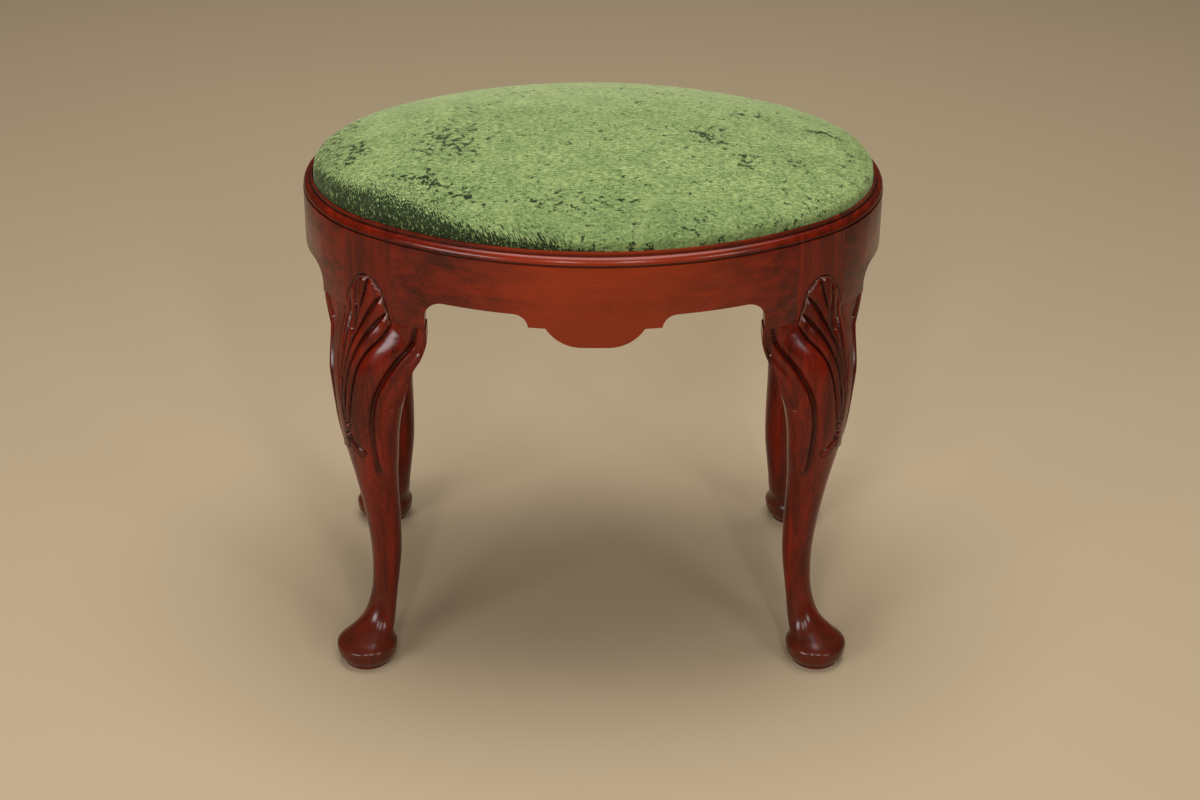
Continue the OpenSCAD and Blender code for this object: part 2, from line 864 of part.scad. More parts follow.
module rear_left_end_knee_block() color(block_colour) for_leg(-1, 1) knee_block_solid(-1);

module rear_right_long_knee_block() color(block_colour) for_leg(1, 1) knee_block_solid(1);

module rear_right_end_knee_block() color(block_colour) for_leg(1, 1) knee_block_solid(-1);

module front_left_corner_block() color(raw_wood_colour) for_leg(-1, -1) corner_block_solid();

module front_right_corner_block() color(raw_wood_colour) for_leg(1, -1) corner_block_solid();

module rear_left_corner_block() color(raw_wood_colour) for_leg(-1, 1) corner_block_solid();

module rear_right_corner_block() color(raw_wood_colour) for_leg(1, 1) corner_block_solid();

module corner_block_screws()
    color(steel_colour)
        for (side = [-1, 1])
            for (front = [-1, 1])
                for_leg(side, front)
                    block_screws(0);

module rail_dowels()
    color(raw_wood_colour)
        for (side = [-1, 1])
            for (front = [-1, 1])
                for (direction = [-1, 1])
                    for_leg(side, front)
                        post_dowels(direction, 0);

module seat_board()
    color(board_colour)
        translate([0, 0, board_bottom])
            oval_plate(board_inset + board_clearance, board_thickness);

module seat_foam() color(foam_colour) seat_foam_solid();

module seat_cover() color(velvet_colour) seat_cover_solid();

module dust_cover()
    color(dust_colour)
        translate([0, 0, seat_bottom - dust_thickness])
            oval_plate(dust_inset, dust_thickness);

module cover_staples()
    color(steel_colour)
        staples_round(
            hem_staple_inset,
            seat_bottom,
            end_post_turn - staple_clear_turn,
            90 - long_post_turn - staple_clear_turn
        );

module dust_cover_staples()
    color(steel_colour)
        staples_round(
            dust_staple_inset,
            seat_bottom - dust_thickness,
            arc_change,
            90 - arc_change
        );

front_left_leg();
front_right_leg();
rear_left_leg();
rear_right_leg();
front_rail();
rear_rail();
left_rail();
right_rail();
front_left_long_knee_block();
front_left_end_knee_block();
front_right_long_knee_block();
front_right_end_knee_block();
rear_left_long_knee_block();
rear_left_end_knee_block();
rear_right_long_knee_block();
rear_right_end_knee_block();
front_left_corner_block();
front_right_corner_block();
rear_left_corner_block();
rear_right_corner_block();
corner_block_screws();
rail_dowels();
seat_board();
seat_foam();
seat_cover();
dust_cover();
cover_staples();
dust_cover_staples();
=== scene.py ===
"""Oval vanity bench: moulded mahogany frame, shell-carved cabriole legs and a crushed-velvet seat.

Sizes are written in millimetres and turned to metres as meshes are made. The floor is z = 0,
the front faces -Y and the long axis of the oval lies along X.
"""

import logging  # noqa: E402
import math  # noqa: E402
from collections.abc import Iterator  # noqa: E402
from contextlib import contextmanager  # noqa: E402
from dataclasses import dataclass, field  # noqa: E402
from enum import Enum  # noqa: E402
from functools import partial  # noqa: E402

import bpy  # noqa: E402
import numpy as np  # noqa: E402
from mathutils import Matrix, Vector  # noqa: E402

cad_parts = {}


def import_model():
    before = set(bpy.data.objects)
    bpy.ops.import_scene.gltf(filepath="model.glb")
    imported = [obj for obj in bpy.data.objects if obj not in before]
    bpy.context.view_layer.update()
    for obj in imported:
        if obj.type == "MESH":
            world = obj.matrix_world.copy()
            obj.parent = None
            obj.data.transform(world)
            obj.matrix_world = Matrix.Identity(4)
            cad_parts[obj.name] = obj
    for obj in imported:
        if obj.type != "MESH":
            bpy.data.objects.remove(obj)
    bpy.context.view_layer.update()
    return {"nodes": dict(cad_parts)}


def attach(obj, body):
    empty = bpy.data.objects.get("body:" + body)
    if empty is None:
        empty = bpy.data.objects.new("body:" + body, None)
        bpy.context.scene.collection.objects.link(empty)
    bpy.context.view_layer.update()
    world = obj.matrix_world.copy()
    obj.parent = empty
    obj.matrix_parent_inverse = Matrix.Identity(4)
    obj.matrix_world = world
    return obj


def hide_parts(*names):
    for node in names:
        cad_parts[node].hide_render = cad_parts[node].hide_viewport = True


log = logging.getLogger("vanity_bench")

MM = 0.001

# Signs of X and Y at the four corners of the bench.
CORNERS = {"front_left": (-1, -1), "front_right": (1, -1), "rear_left": (-1, 1), "rear_right": (1, 1)}

# Short names for the types in the signatures.
Piece = bpy.types.Object
Array = np.ndarray
Socket = bpy.types.NodeSocket


# --------------------------------------------------------------------------- small helpers


def linear(hex_colour: str) -> tuple[float, float, float, float]:
    """Turn an sRGB hex colour to linear light.

    Args:
        hex_colour: colour such as "#8a3c20".

    Returns:
        Linear red, green, blue and an alpha of 1.
    """
    parts = [int(hex_colour[i : i + 2], 16) / 255 for i in (1, 3, 5)]
    light = [c / 12.92 if c <= 0.04045 else ((c + 0.055) / 1.055) ** 2.4 for c in parts]
    return (*light, 1.0)


def soft_step(x: Array, low: float, high: float) -> Array:
    """Rise smoothly from 0 to 1 while x runs from low to high."""
    t = np.clip((np.asarray(x, float) - low) / (high - low), 0, 1)
    return t * t * (3 - 2 * t)


def bell(x: Array, width: float | Array) -> Array:
    """Fall smoothly from 1 at x = 0 to almost nothing two widths away."""
    return np.exp(-((x / width) ** 2))


def cubic(t: Array, a: Array, b: Array, da: Array, db: Array) -> Array:
    """Smooth curve from a at t = 0 to b at t = 1, with the slopes da and db at its ends."""
    return a * (1 + 2 * t) * (1 - t) ** 2 + da * t * (1 - t) ** 2 + b * t * t * (3 - 2 * t) - db * t * t * (1 - t)


def deselect() -> None:
    """Leave edit mode and deselect every object."""
    if bpy.context.object and bpy.context.object.mode != "OBJECT":
        bpy.ops.object.mode_set(mode="OBJECT")
    bpy.ops.object.select_all(action="DESELECT")


def pick(piece: Piece) -> None:
    """Select one object alone and make it active."""
    deselect()
    piece.select_set(True)
    bpy.context.view_layer.objects.active = piece


def named(name: str) -> Piece:
    """Name the object and mesh that an operator has just added."""
    piece = bpy.context.object
    piece.name = name
    piece.data.name = name
    return piece


def coordinates(piece: Piece) -> Array:
    """Read a mesh's vertices in millimetres."""
    flat = np.empty(len(piece.data.vertices) * 3)
    piece.data.vertices.foreach_get("co", flat)
    return flat.reshape(-1, 3) / MM


def place(piece: Piece, points: Array) -> None:
    """Move a mesh's vertices to points given in millimetres."""
    piece.data.vertices.foreach_set("co", (points * MM).ravel())
    piece.data.update()


def apply_modifiers(piece: Piece) -> None:
    """Apply every modifier of a piece in order."""
    pick(piece)
    for modifier in list(piece.modifiers):
        bpy.ops.object.modifier_apply(modifier=modifier.name)


def modified(piece: Piece, kind: str, **settings: object) -> None:
    """Add a modifier of a kind with its settings, and apply it."""
    modifier = piece.modifiers.new(kind.lower(), kind)
    for key, value in settings.items():
        setattr(modifier, key, value)
    apply_modifiers(piece)


@contextmanager
def editing(piece: Piece) -> Iterator[None]:
    """Work on a piece in edit mode, with everything selected at the start."""
    pick(piece)
    bpy.ops.object.mode_set(mode="EDIT")
    bpy.ops.mesh.select_all(action="SELECT")
    yield
    bpy.ops.object.mode_set(mode="OBJECT")


def tidy_mesh(piece: Piece, distance: float = 0.002, fill: bool = False) -> None:
    """Merge doubles, close open ends if asked, and point the faces outwards.

    Args:
        piece: mesh object.
        distance: merging distance in millimetres.
        fill: whether open borders get a face.
    """
    with editing(piece):
        bpy.ops.mesh.remove_doubles(threshold=distance * MM)
        if fill:
            bpy.ops.mesh.select_all(action="DESELECT")
            bpy.ops.mesh.select_mode(type="EDGE")
            bpy.ops.mesh.select_non_manifold(
                use_wire=False, use_boundary=True, use_multi_face=False, use_non_contiguous=False, use_verts=False
            )
            bpy.ops.mesh.edge_face_add()
        bpy.ops.mesh.select_mode(type="VERT")
        bpy.ops.mesh.select_all(action="SELECT")
        bpy.ops.mesh.normals_make_consistent(inside=False)


def shade(piece: Piece, degrees: float = 40) -> None:
    """Shade a piece smooth but for edges sharper than an angle."""
    pick(piece)
    bpy.ops.object.shade_smooth_by_angle(angle=math.radians(degrees))


def paint(piece: Piece, name: str, values: Array) -> None:
    """Store one number per vertex for a material to read."""
    layer = piece.data.attributes.get(name) or piece.data.attributes.new(name, "FLOAT", "POINT")
    layer.data.foreach_set("value", np.ascontiguousarray(values, np.float32))


def mirrored(piece: Piece, name: str, side: int, front: int) -> Piece:
    """Copy a piece made for the rear right corner to another corner, with its own mesh.

    Args:
        piece: the master piece.
        name: name of the copy.
        side: 1 for the right, -1 for the left.
        front: 1 for the rear, -1 for the front.

    Returns:
        The copy.
    """
    copy = piece.copy()
    copy.data = piece.data.copy()
    copy.name = copy.data.name = name
    bpy.context.scene.collection.objects.link(copy)
    copy.data.transform(Matrix.Diagonal((side, front, 1, 1)))
    if side * front < 0:
        with editing(copy):
            bpy.ops.mesh.normals_make_consistent(inside=False)
    return copy


def placed_grid(name: str, points: Array) -> Piece:
    """Lay a grid primitive over an array of points.

    Args:
        name: name of the piece.
        points: rows by columns by 3, in millimetres.

    Returns:
        The grid, open on all sides.
    """
    rows, columns = points.shape[:2]
    deselect()
    bpy.ops.mesh.primitive_grid_add(x_subdivisions=columns - 1, y_subdivisions=rows - 1, size=1)
    piece = named(name)
    start = coordinates(piece) * MM
    column = np.rint((start[:, 0] + 0.5) * (columns - 1)).astype(int)
    row = np.rint((start[:, 1] + 0.5) * (rows - 1)).astype(int)
    place(piece, points[row, column])
    return piece


# --------------------------------------------------------------------------- plan and sections


@dataclass(frozen=True)
class Oval:
    """Four-centre oval of the frame, measured over the faces of the rails."""

    length: float = 530.0
    depth: float = 378.0
    change: float = 54.5

    @property
    def end_centre(self) -> float:
        """Distance of an end arc's centre from the middle."""
        turn = math.radians(self.change)
        return (self.length - self.depth) / 2 / (math.tan(turn) + 1 - 1 / math.cos(turn))

    @property
    def end_radius(self) -> float:
        """Radius of the end arcs."""
        return self.length / 2 - self.end_centre

    @property
    def long_centre(self) -> float:
        """Distance of a long arc's centre from the middle, on the far side."""
        return self.end_centre * math.tan(math.radians(self.change))

    @property
    def long_radius(self) -> float:
        """Radius of the long arcs."""
        return self.depth / 2 + self.long_centre

    def outline(self, inset: float, end_steps: int, long_steps: int) -> Array:
        """Walk round the oval.

        Args:
            inset: distance inside the rail faces.
            end_steps: steps on each end arc.
            long_steps: steps on each long arc.

        Returns:
            Points of the closed outline, the first one not repeated.
        """
        turn = math.radians(self.change)
        end = np.linspace(-turn, turn, end_steps, endpoint=False)
        long = np.linspace(turn, math.pi - turn, long_steps, endpoint=False)
        reach, far = self.end_radius - inset, self.long_radius - inset
        half = np.concatenate(
            [
                np.stack([self.end_centre + reach * np.cos(end), reach * np.sin(end)], 1),
                np.stack([far * np.cos(long), far * np.sin(long) - self.long_centre], 1),
            ]
        )
        return np.concatenate([half, -half])

    def on_end(self, points: Array) -> Array:
        """Whether plan points lie nearest to an end arc."""
        x, y = np.abs(points[:, 0]), np.abs(points[:, 1])
        return (x > self.end_centre) & (y < (x - self.end_centre) * math.tan(math.radians(self.change)))

    def inset_of(self, points: Array) -> Array:
        """Distance of plan points inside the rail faces."""
        x, y = np.abs(points[:, 0]), np.abs(points[:, 1])
        end, long = np.hypot(x - self.end_centre, y), np.hypot(x, y + self.long_centre)
        return np.where(self.on_end(points), self.end_radius - end, self.long_radius - long)

    def outwards(self, points: Array) -> Array:
        """Plan direction from points straight out to the nearest rail face."""
        x, y = np.abs(points[:, 0]), np.abs(points[:, 1])
        end = self.on_end(points)
        way = np.stack([np.where(end, x - self.end_centre, x), np.where(end, y, y + self.long_centre)], 1)
        way /= np.maximum(np.linalg.norm(way, axis=1, keepdims=True), 1e-9)
        return way * np.where(points[:, :2] < 0, -1.0, 1.0)


def eased(points: list[tuple[float, float, float]], steps: int = 3) -> Array:
    """Round the corners of an outline.

    Args:
        points: corners as (across, height, easing radius).
        steps: steps of each rounded corner.

    Returns:
        The outline with its arrises eased.
    """
    made = []
    count = len(points)
    for i, (x, z, radius) in enumerate(points):
        here = np.array([x, z])
        before, after = np.array(points[i - 1][:2]), np.array(points[(i + 1) % count][:2])
        if radius <= 0:
            made.append(here)
            continue
        back, on = before - here, after - here
        back, on = back / np.linalg.norm(back), on / np.linalg.norm(on)
        for t in np.linspace(0, 1, steps + 1):
            made.append(here + radius * (back * (1 - t) ** 2 + on * t**2))
    return np.array(made)


@dataclass(frozen=True)
class RimProfile:
    """Section of the frame: x is 0 on the rail face and grows outwards, z is the height."""

    bottom: float = 364.0
    face_top: float = 440.0
    rim_top: float = 452.0
    ledge: float = 438.8
    thickness: float = 22.0
    rim_width: float = 8.6
    sunk_depth: float = 1.6
    sunk_height: float = 2.2
    ovolo_radius: float = 6.1
    ovolo_setback: float = 0.4
    ovolo_steps: int = 10

    def moulding(self) -> Array:
        """Front of the rim from the top of the rail face to the top of the fillet."""
        base = self.face_top + self.sunk_height
        inner = self.ovolo_setback + self.ovolo_radius
        turns = np.linspace(0, math.pi / 2, self.ovolo_steps + 1)[1:]
        arc = [
            (-inner + self.ovolo_radius * math.cos(t), base + self.ovolo_radius * math.sin(t), 0.0)
            for t in turns
        ]
        corners = [
            (0.0, self.face_top - 4, 0.0),
            (0.0, self.face_top, 0.55),
            (-self.sunk_depth, self.face_top, 0.25),
            (-self.sunk_depth, base, 0.25),
            (-self.ovolo_setback, base, 0.3),
            *arc,
            (-inner, self.rim_top, 0.45),
            (-self.rim_width, self.rim_top, 0.45),
        ]
        return eased(corners)[1:-4]

    def ring(self) -> Array:
        """Closed section of a rail, front first."""
        back = eased(
            [
                (-self.ovolo_radius - self.ovolo_setback, self.rim_top, 0.0),
                (-self.rim_width, self.rim_top, 0.45),
                (-self.rim_width, self.ledge, 0.0),
                (-self.thickness, self.ledge, 0.4),
                (-self.thickness, self.bottom, 0.0),
                (0.0, self.bottom, 0.0),
            ]
        )[1:]
        return np.concatenate([self.moulding(), back])


@dataclass(frozen=True)
class LegForm:
    """Smooth curves of the cabriole leg, in the frame of the rear right leg.

    In that frame the first axis points outwards along the knee and the toe, and the second runs
    across the leg, positive towards the long rail.
    """

    oval: Oval = field(default_factory=Oval)
    profile: RimProfile = field(default_factory=RimProfile)
    stand: float = 52.5
    turn: float = 46.0
    width: float = 60.0
    stock_reach: float = 36.0
    post_end: float = 20.0
    post_long: float = 32.0
    post_depth: float = 46.0
    block_foot: float = 0.765
    end_share: float = 0.79
    block_depth: float = 20.0
    tip_depth: float = 1.5

    # Columns: height as a share of the rail's bottom, then shares of the leg's width: the side
    # edge, the front, the back, the half width, and the half width of the swelling.
    CURVES = np.array(
        [
            [0.000, 0.208, 0.567, -0.150, 0.358, 0.358],
            [0.011, 0.208, 0.585, -0.168, 0.377, 0.377],
            [0.030, 0.208, 0.662, -0.245, 0.453, 0.453],
            [0.050, 0.208, 0.673, -0.257, 0.465, 0.465],
            [0.064, 0.185, 0.620, -0.250, 0.435, 0.435],
            [0.078, 0.120, 0.500, -0.255, 0.378, 0.378],
            [0.098, -0.003, 0.288, -0.295, 0.292, 0.292],
            [0.122, -0.095, 0.150, -0.340, 0.245, 0.245],
            [0.160, -0.172, 0.040, -0.385, 0.213, 0.213],
            [0.206, -0.233, -0.028, -0.438, 0.205, 0.205],
            [0.294, -0.280, -0.050, -0.510, 0.230, 0.230],
            [0.387, -0.250, 0.010, -0.510, 0.260, 0.260],
            [0.484, -0.180, 0.118, -0.478, 0.298, 0.298],
            [0.547, -0.130, 0.195, -0.450, 0.350, 0.350],
            [0.607, -0.077, 0.262, -0.425, 0.442, 0.442],
            [0.687, -0.033, 0.358, -0.433, 0.517, 0.517],
            [0.769, -0.050, 0.388, -0.500, 0.612, 0.612],
            [0.852, -0.067, 0.320, -0.600, 0.808, 0.808],
            [0.920, -0.050, 0.233, -0.683, 0.985, 0.900],
            [0.962, -0.025, 0.172, -0.717, 1.060, 0.720],
            [0.985, -0.007, 0.137, -0.730, 1.066, 0.540],
            [1.020, 0.000, 0.096, -0.733, 1.065, 0.430],
            [1.058, 0.000, 0.055, -0.733, 1.065, 0.400],
            [1.104, 0.000, 0.000, -0.733, 1.065, 0.300],
        ]
    )

    @property
    def origin(self) -> Array:
        """Plan point where the line of the knee meets the rail face."""
        t = math.radians(self.stand)
        return np.array(
            [self.oval.end_centre + self.oval.end_radius * math.cos(t), self.oval.end_radius * math.sin(t)]
        )

    def to_leg(self, x: float, y: float) -> Array:
        """Plan point of the bench in the leg's frame."""
        c, s = math.cos(math.radians(self.turn)), math.sin(math.radians(self.turn))
        dx, dy = np.array([x, y]) - self.origin
        return np.array([dx * c + dy * s, dy * c - dx * s])

    def from_leg(self, points: Array) -> Array:
        """Points of the leg's frame in the bench's frame."""
        c, s = math.cos(math.radians(self.turn)), math.sin(math.radians(self.turn))
        out = np.array(points, float)
        u, v = points[..., 0], points[..., 1]
        out[..., 0] = self.origin[0] + u * c - v * s
        out[..., 1] = self.origin[1] + u * s + v * c
        return out

    def face_at(self, v: Array, inset: Array | float = 0.0) -> Array:
        """Place of the rail face, or of a line inset from it, at side place v."""
        oval, t = self.oval, math.radians(self.oval.change)
        end = self.to_leg(oval.end_centre, 0)
        long = self.to_leg(0, -oval.long_centre)
        change = self.to_leg(oval.end_centre + oval.end_radius * math.cos(t), oval.end_radius * math.sin(t))[1]
        on_end = end[0] + np.sqrt((oval.end_radius - inset) ** 2 - (v - end[1]) ** 2)
        on_long = long[0] + np.sqrt((oval.long_radius - inset) ** 2 - (v - long[1]) ** 2)
        return np.where(v < change, on_end, on_long)

    def line(self, share: Array, column: int) -> Array:
        """Smooth curve through one column of the table, in millimetres."""
        rows, values = self.CURVES[:, 0], self.CURVES[:, column]
        low = np.maximum(np.arange(len(rows)) - 1, 0)
        high = np.minimum(np.arange(len(rows)) + 1, len(rows) - 1)
        slopes = (values[high] - values[low]) / (rows[high] - rows[low])
        k = np.clip(np.searchsorted(rows, share, side="right") - 1, 0, len(rows) - 2)
        span = rows[k + 1] - rows[k]
        t = np.clip((share - rows[k]) / span, 0, 1)
        return self.width * cubic(t, values[k], values[k + 1], slopes[k] * span, slopes[k + 1] * span)

    def front(self, z: Array, v: Array) -> Array:
        """Front surface of the leg and its knee blocks at a height and side place."""
        share = z / self.profile.bottom
        edge, front, spread = self.line(share, 1), self.line(share, 2), self.line(share, 5)
        follow, turn = soft_step(share, 0.73, 1.0), soft_step(share, 0.82, 1.0)
        middle = (self.post_long - self.post_end) / 2 * turn
        x = np.clip(np.abs((v - middle) / spread), 0, 1)
        swell = (1 - turn) * np.sqrt(1 - x * x) + turn * (1 + np.cos(math.pi * x)) / 2
        return self.face_at(v) * follow + edge + (front - edge) * swell

    def back(self, z: Array, v: Array) -> Array:
        """Back surface of the leg below the rails."""
        share = z / self.profile.bottom
        edge, back, half = self.line(share, 1), self.line(share, 3), self.line(share, 4)
        t = np.clip(np.abs(v) / half, 0, 1)
        return edge - (edge - back) * np.sqrt(1 - t * t)

    def normal(self, z: Array, v: Array) -> Array:
        """Direction in which the front surface looks."""
        step = 0.4
        across = (self.front(z, v + step) - self.front(z, v - step)) / (2 * step)
        along = (self.front(z + step, v) - self.front(z - step, v)) / (2 * step)
        look = np.stack([np.ones_like(across), -across, -along], -1)
        return look / np.linalg.norm(look, axis=-1, keepdims=True)

    def block_reach(self, share: Array, direction: int) -> Array:
        """Reach of a knee block from the line of the knee."""
        half = np.maximum(self.line(share, 4), self.stock_reach + self.tip_depth)
        return self.stock_reach + (half - self.stock_reach) * (1 if direction > 0 else self.end_share)


# --------------------------------------------------------------------------- carving


@dataclass(frozen=True)
class KneeCarving:
    """Relief of the knee: a fan of lobes running down to two beads and a leaf, and side scrolls.

    Lines are given as (side place, height) on the front of the leg, in millimetres.
    """

    lobe_height: float = 3.0
    lobe_steepness: float = 0.74
    valley_depth: float = 1.3
    valley_share: float = 0.22
    scroll_depth: float = 2.6
    scroll_width: float = 3.3
    bead_height: float = 1.0
    bead_place: float = 4.2
    cheek_depth: float = 2.6
    bulge_height: float = 4.2
    bulge_shoulder: float = 7.5
    bulge_top: float = 364.0
    end_scroll_share: float = 0.9
    scroll_foot: float = 199.0
    scroll_fade: float = 212.0
    cheek_rise: tuple[float, float] = (206.0, 240.0)
    bulge_rise: tuple[float, float] = (250.0, 325.0)
    wear_and_highlight_rise: tuple[float, float] = (350.0, 375.0)
    leaf_reach: tuple[float, float] = (224.0, 246.0)
    sunk_depth: float = 0.6
    sunk_width: float = 0.9
    leaf_foot: float = 229.0
    leaf_length: float = 13.6

    SHELL = (
        (30.6, 361.5), (28.0, 369.5), (24.6, 381.5), (20.6, 392.3), (13.5, 400.0), (5.6, 402.2),
        (-1.8, 401.0), (-6.8, 397.5), (-10.4, 391.0), (-14.5, 385.5), (-17.6, 379.5), (-19.6, 371.0),
        (-22.0, 362.0), (-21.5, 352.0), (-19.5, 337.0), (-17.2, 322.0), (-14.6, 308.0), (-11.6, 294.0),
        (-8.8, 279.0), (-6.2, 262.0),
    )
    BULGE_EDGE = (
        (30.6, 361.5), (25.6, 347.8), (17.4, 336.2), (10.8, 323.6), (6.9, 308.6), (5.2, 292.5),
        (3.8, 275.0), (1.2, 262.0),
    )
    VEINS = (
        ((-6.4, 397.6), (-5.6, 390.0), (-4.6, 380.5), (-2.4, 368.0), (-2.2, 358.0), (-2.6, 351.0)),
        ((8.0, 401.6), (6.2, 392.0), (4.4, 381.5), (1.4, 367.5), (-1.0, 357.5), (-2.6, 350.0)),
        (
            (22.6, 387.4), (18.6, 382.6), (13.6, 374.0), (7.2, 360.0), (0.4, 344.0), (-3.6, 330.0),
            (-6.2, 316.0), (-7.2, 300.0), (-6.6, 281.0), (-4.8, 263.0),
        ),
        (
            (27.6, 371.4), (24.6, 369.0), (19.4, 361.6), (12.4, 350.0), (5.8, 336.0), (0.6, 320.5),
            (-1.4, 306.0), (-2.0, 287.0), (-2.4, 263.0),
        ),
        (
            (-16.6, 381.6), (-14.0, 375.0), (-12.0, 367.0), (-10.0, 354.0), (-9.6, 338.0), (-10.8, 321.0),
            (-10.6, 304.0),
        ),
    )
    SCROLL = (
        (54.5, 364.0), (53.2, 357.0), (51.0, 349.0), (47.4, 339.8), (42.4, 331.2), (37.8, 321.3),
        (33.7, 311.2), (29.8, 299.8), (26.6, 288.0), (24.6, 275.5), (23.2, 262.0), (22.1, 248.0),
        (21.0, 234.0), (20.0, 221.0), (19.4, 212.0), (19.6, 207.0), (20.8, 204.0), (22.8, 202.8),
    )
    BEADS = ((-1.4, 257.6, 2.7), (-2.6, 246.8, 3.2))
    LEAVES = (
        ((-1.6, 242.6), (0.6, 237.6), (4.6, 232.4), (9.6, 230.0)),
        ((-4.4, 242.6), (-6.6, 237.6), (-10.6, 232.4), (-15.6, 230.0)),
    )

    @staticmethod
    def smooth(line: tuple, steps: int = 6) -> Array:
        """Smooth curve through the points of a line."""
        p = np.array(line, float)
        slopes = np.gradient(p, axis=0)
        t = np.linspace(0, 1, steps, endpoint=False)[None, :, None]
        curve = cubic(t, p[:-1, None], p[1:, None], slopes[:-1, None], slopes[1:, None])
        return np.concatenate([curve.reshape(-1, 2), p[-1:]])

    @staticmethod
    def distance(points: Array, line: Array) -> tuple[Array, Array]:
        """Distance of points to a line, and on which side of it they lie.

        Args:
            points: points as (side place, height).
            line: points of the line.

        Returns:
            The distances, and the signed offsets that are positive to the right of the line
            walked from its start.
        """
        a, b = line[:-1], line[1:]
        d = b - a
        length = (d**2).sum(1)
        best = np.full(len(points), 1e9)
        side = np.zeros(len(points))
        for i in range(len(a)):
            r = points - a[i]
            t = np.clip(r @ d[i] / length[i], 0, 1)
            off = r - t[:, None] * d[i]
            dist = np.hypot(off[:, 0], off[:, 1])
            cross = d[i][1] * r[:, 0] - d[i][0] * r[:, 1]
            nearer = dist < best
            best = np.where(nearer, dist, best)
            side = np.where(nearer, np.sign(cross), side)
        return best, side * best

    @staticmethod
    def inside(points: Array, outline: Array) -> Array:
        """Whether points lie inside a closed outline."""
        found = np.zeros(len(points), bool)
        x, y = points[:, 0], points[:, 1]
        for (x0, y0), (x1, y1) in zip(outline, np.roll(outline, -1, 0)):
            if y0 == y1:
                continue
            crosses = (y0 > y) != (y1 > y)
            found ^= crosses & (x < (x1 - x0) * (y - y0) / (y1 - y0) + x0)
        return found

    def scroll_side(self, v: Array, z: Array, edge: Array) -> tuple[Array, Array]:
        """Relief of one side scroll, with its bead and the hollow cheek beyond it.

        Args:
            v: side places, positive towards the scroll.
            z: heights.
            edge: half width of the leg or reach of its block at each height.

        Returns:
            Relief in millimetres, and how dark its hollows are: gathered finish and painted shade.
        """
        line = self.smooth(self.SCROLL)
        dist, offset = self.distance(np.stack([v, z], 1), line)
        outward = -offset
        fade = soft_step(z, self.scroll_foot, self.scroll_fade)
        groove = 0.5 + 0.5 * np.cos(math.pi * np.clip(dist / self.scroll_width, 0, 1))
        bead = bell(outward - self.bead_place, 1.2)
        room = np.clip((edge - v) / 6.0, 0, 1)
        cheek = soft_step(outward, 4.8, 9.0) * room * soft_step(z, *self.cheek_rise)
        relief = -self.scroll_depth * groove + self.bead_height * bead * room * fade - self.cheek_depth * cheek
        end = 1 - bell(np.hypot(v - self.SCROLL[-1][0], z - self.SCROLL[-1][1]), 4.5)
        end *= np.where(z < 300, soft_step(edge - v, -0.4, 1.8), 1.0)
        relief = relief * end
        there = (v > 2) & (z > self.scroll_foot)
        # The scroll's groove holds gathered finish, painted darker as its shade.
        residue = 0.95 * end * bell(dist, 2.1)
        return np.where(there, relief, 0), np.where(there, residue, 0)

    def relief(self, v: Array, z: Array, edge: Array) -> tuple[Array, Array, Array]:
        """Relief of the whole knee.

        Args:
            v: side places.
            z: heights.
            edge: half width of the leg or reach of its block at each height.

        Returns:
            Relief in millimetres, finish gathered dark in the hollows with painted shade from 0 to 1, and rubbed
            edges with a painted highlight from 0 to 1.
        """
        points = np.stack([v, z], 1)
        outline = self.smooth(self.SHELL)
        boundary = self.smooth(self.BULGE_EDGE)
        closed = np.concatenate([outline, boundary[::-1]])
        in_fan = self.inside(points, closed)
        rim, _ = self.distance(points, outline)
        fold, _ = self.distance(points, boundary)
        nearest = np.minimum(rim, fold)
        veins = [self.distance(points, self.smooth(line))[0] for line in self.VEINS]
        lines = np.sort([*veins, rim, fold], axis=0)
        valley, half = lines[0], np.maximum((lines[0] + lines[1]) / 2, 0.3)
        # The two nearest lines count together, which rounds the heads of the lobes.
        near = math.sqrt(2) / np.sqrt(np.maximum(lines[0], 0.01) ** -2 + np.maximum(lines[1], 0.01) ** -2)
        # Every lobe is a full round across, so it stands as high as its width lets it.
        rise = np.sqrt(1 - (1 - np.clip((near / half - self.valley_share) / (1 - self.valley_share), 0, 1)) ** 2)
        fan = -self.valley_depth + np.minimum(self.lobe_steepness * half, self.lobe_height) * rise
        # A fine sunk line runs round the fan.
        sunk = bell(nearest, self.sunk_width)
        relief = np.where(in_fan, fan, -self.sunk_depth * sunk)
        # Dark finish gathered in the valleys and along the sunk line, painted darker as their shade.
        residue = np.where(in_fan, bell(valley, 0.6 + 0.27 * half), sunk)
        # The top of the fan's rim is paler: rubbed wear and a painted highlight.
        worn = np.where(in_fan, bell(rim - 1.1, 0.7) * soft_step(z, *self.wear_and_highlight_rise), 0)

        # The knee swells between the fan and the scroll.
        scroll = self.distance(points, self.smooth(self.SCROLL))
        between = (~in_fan) & (v > 0) & (scroll[1] > 0) & (z < self.bulge_top)
        swell = (1 - np.exp(-fold / 6.5)) * (1 - np.exp(-scroll[0] / 8.0)) * soft_step(z, *self.bulge_rise)
        swell *= 1 - np.exp(-np.maximum(self.bulge_top - z, 0) / self.bulge_shoulder)
        relief = relief + np.where(between, self.bulge_height * swell, 0)

        for sign, share in ((1, 1.0), (-1, self.end_scroll_share)):
            side, dark = self.scroll_side(sign * v / share, z, edge / share)
            relief = relief + side
            residue = np.maximum(residue, dark)
        return self.small_parts(points, relief, residue, worn)

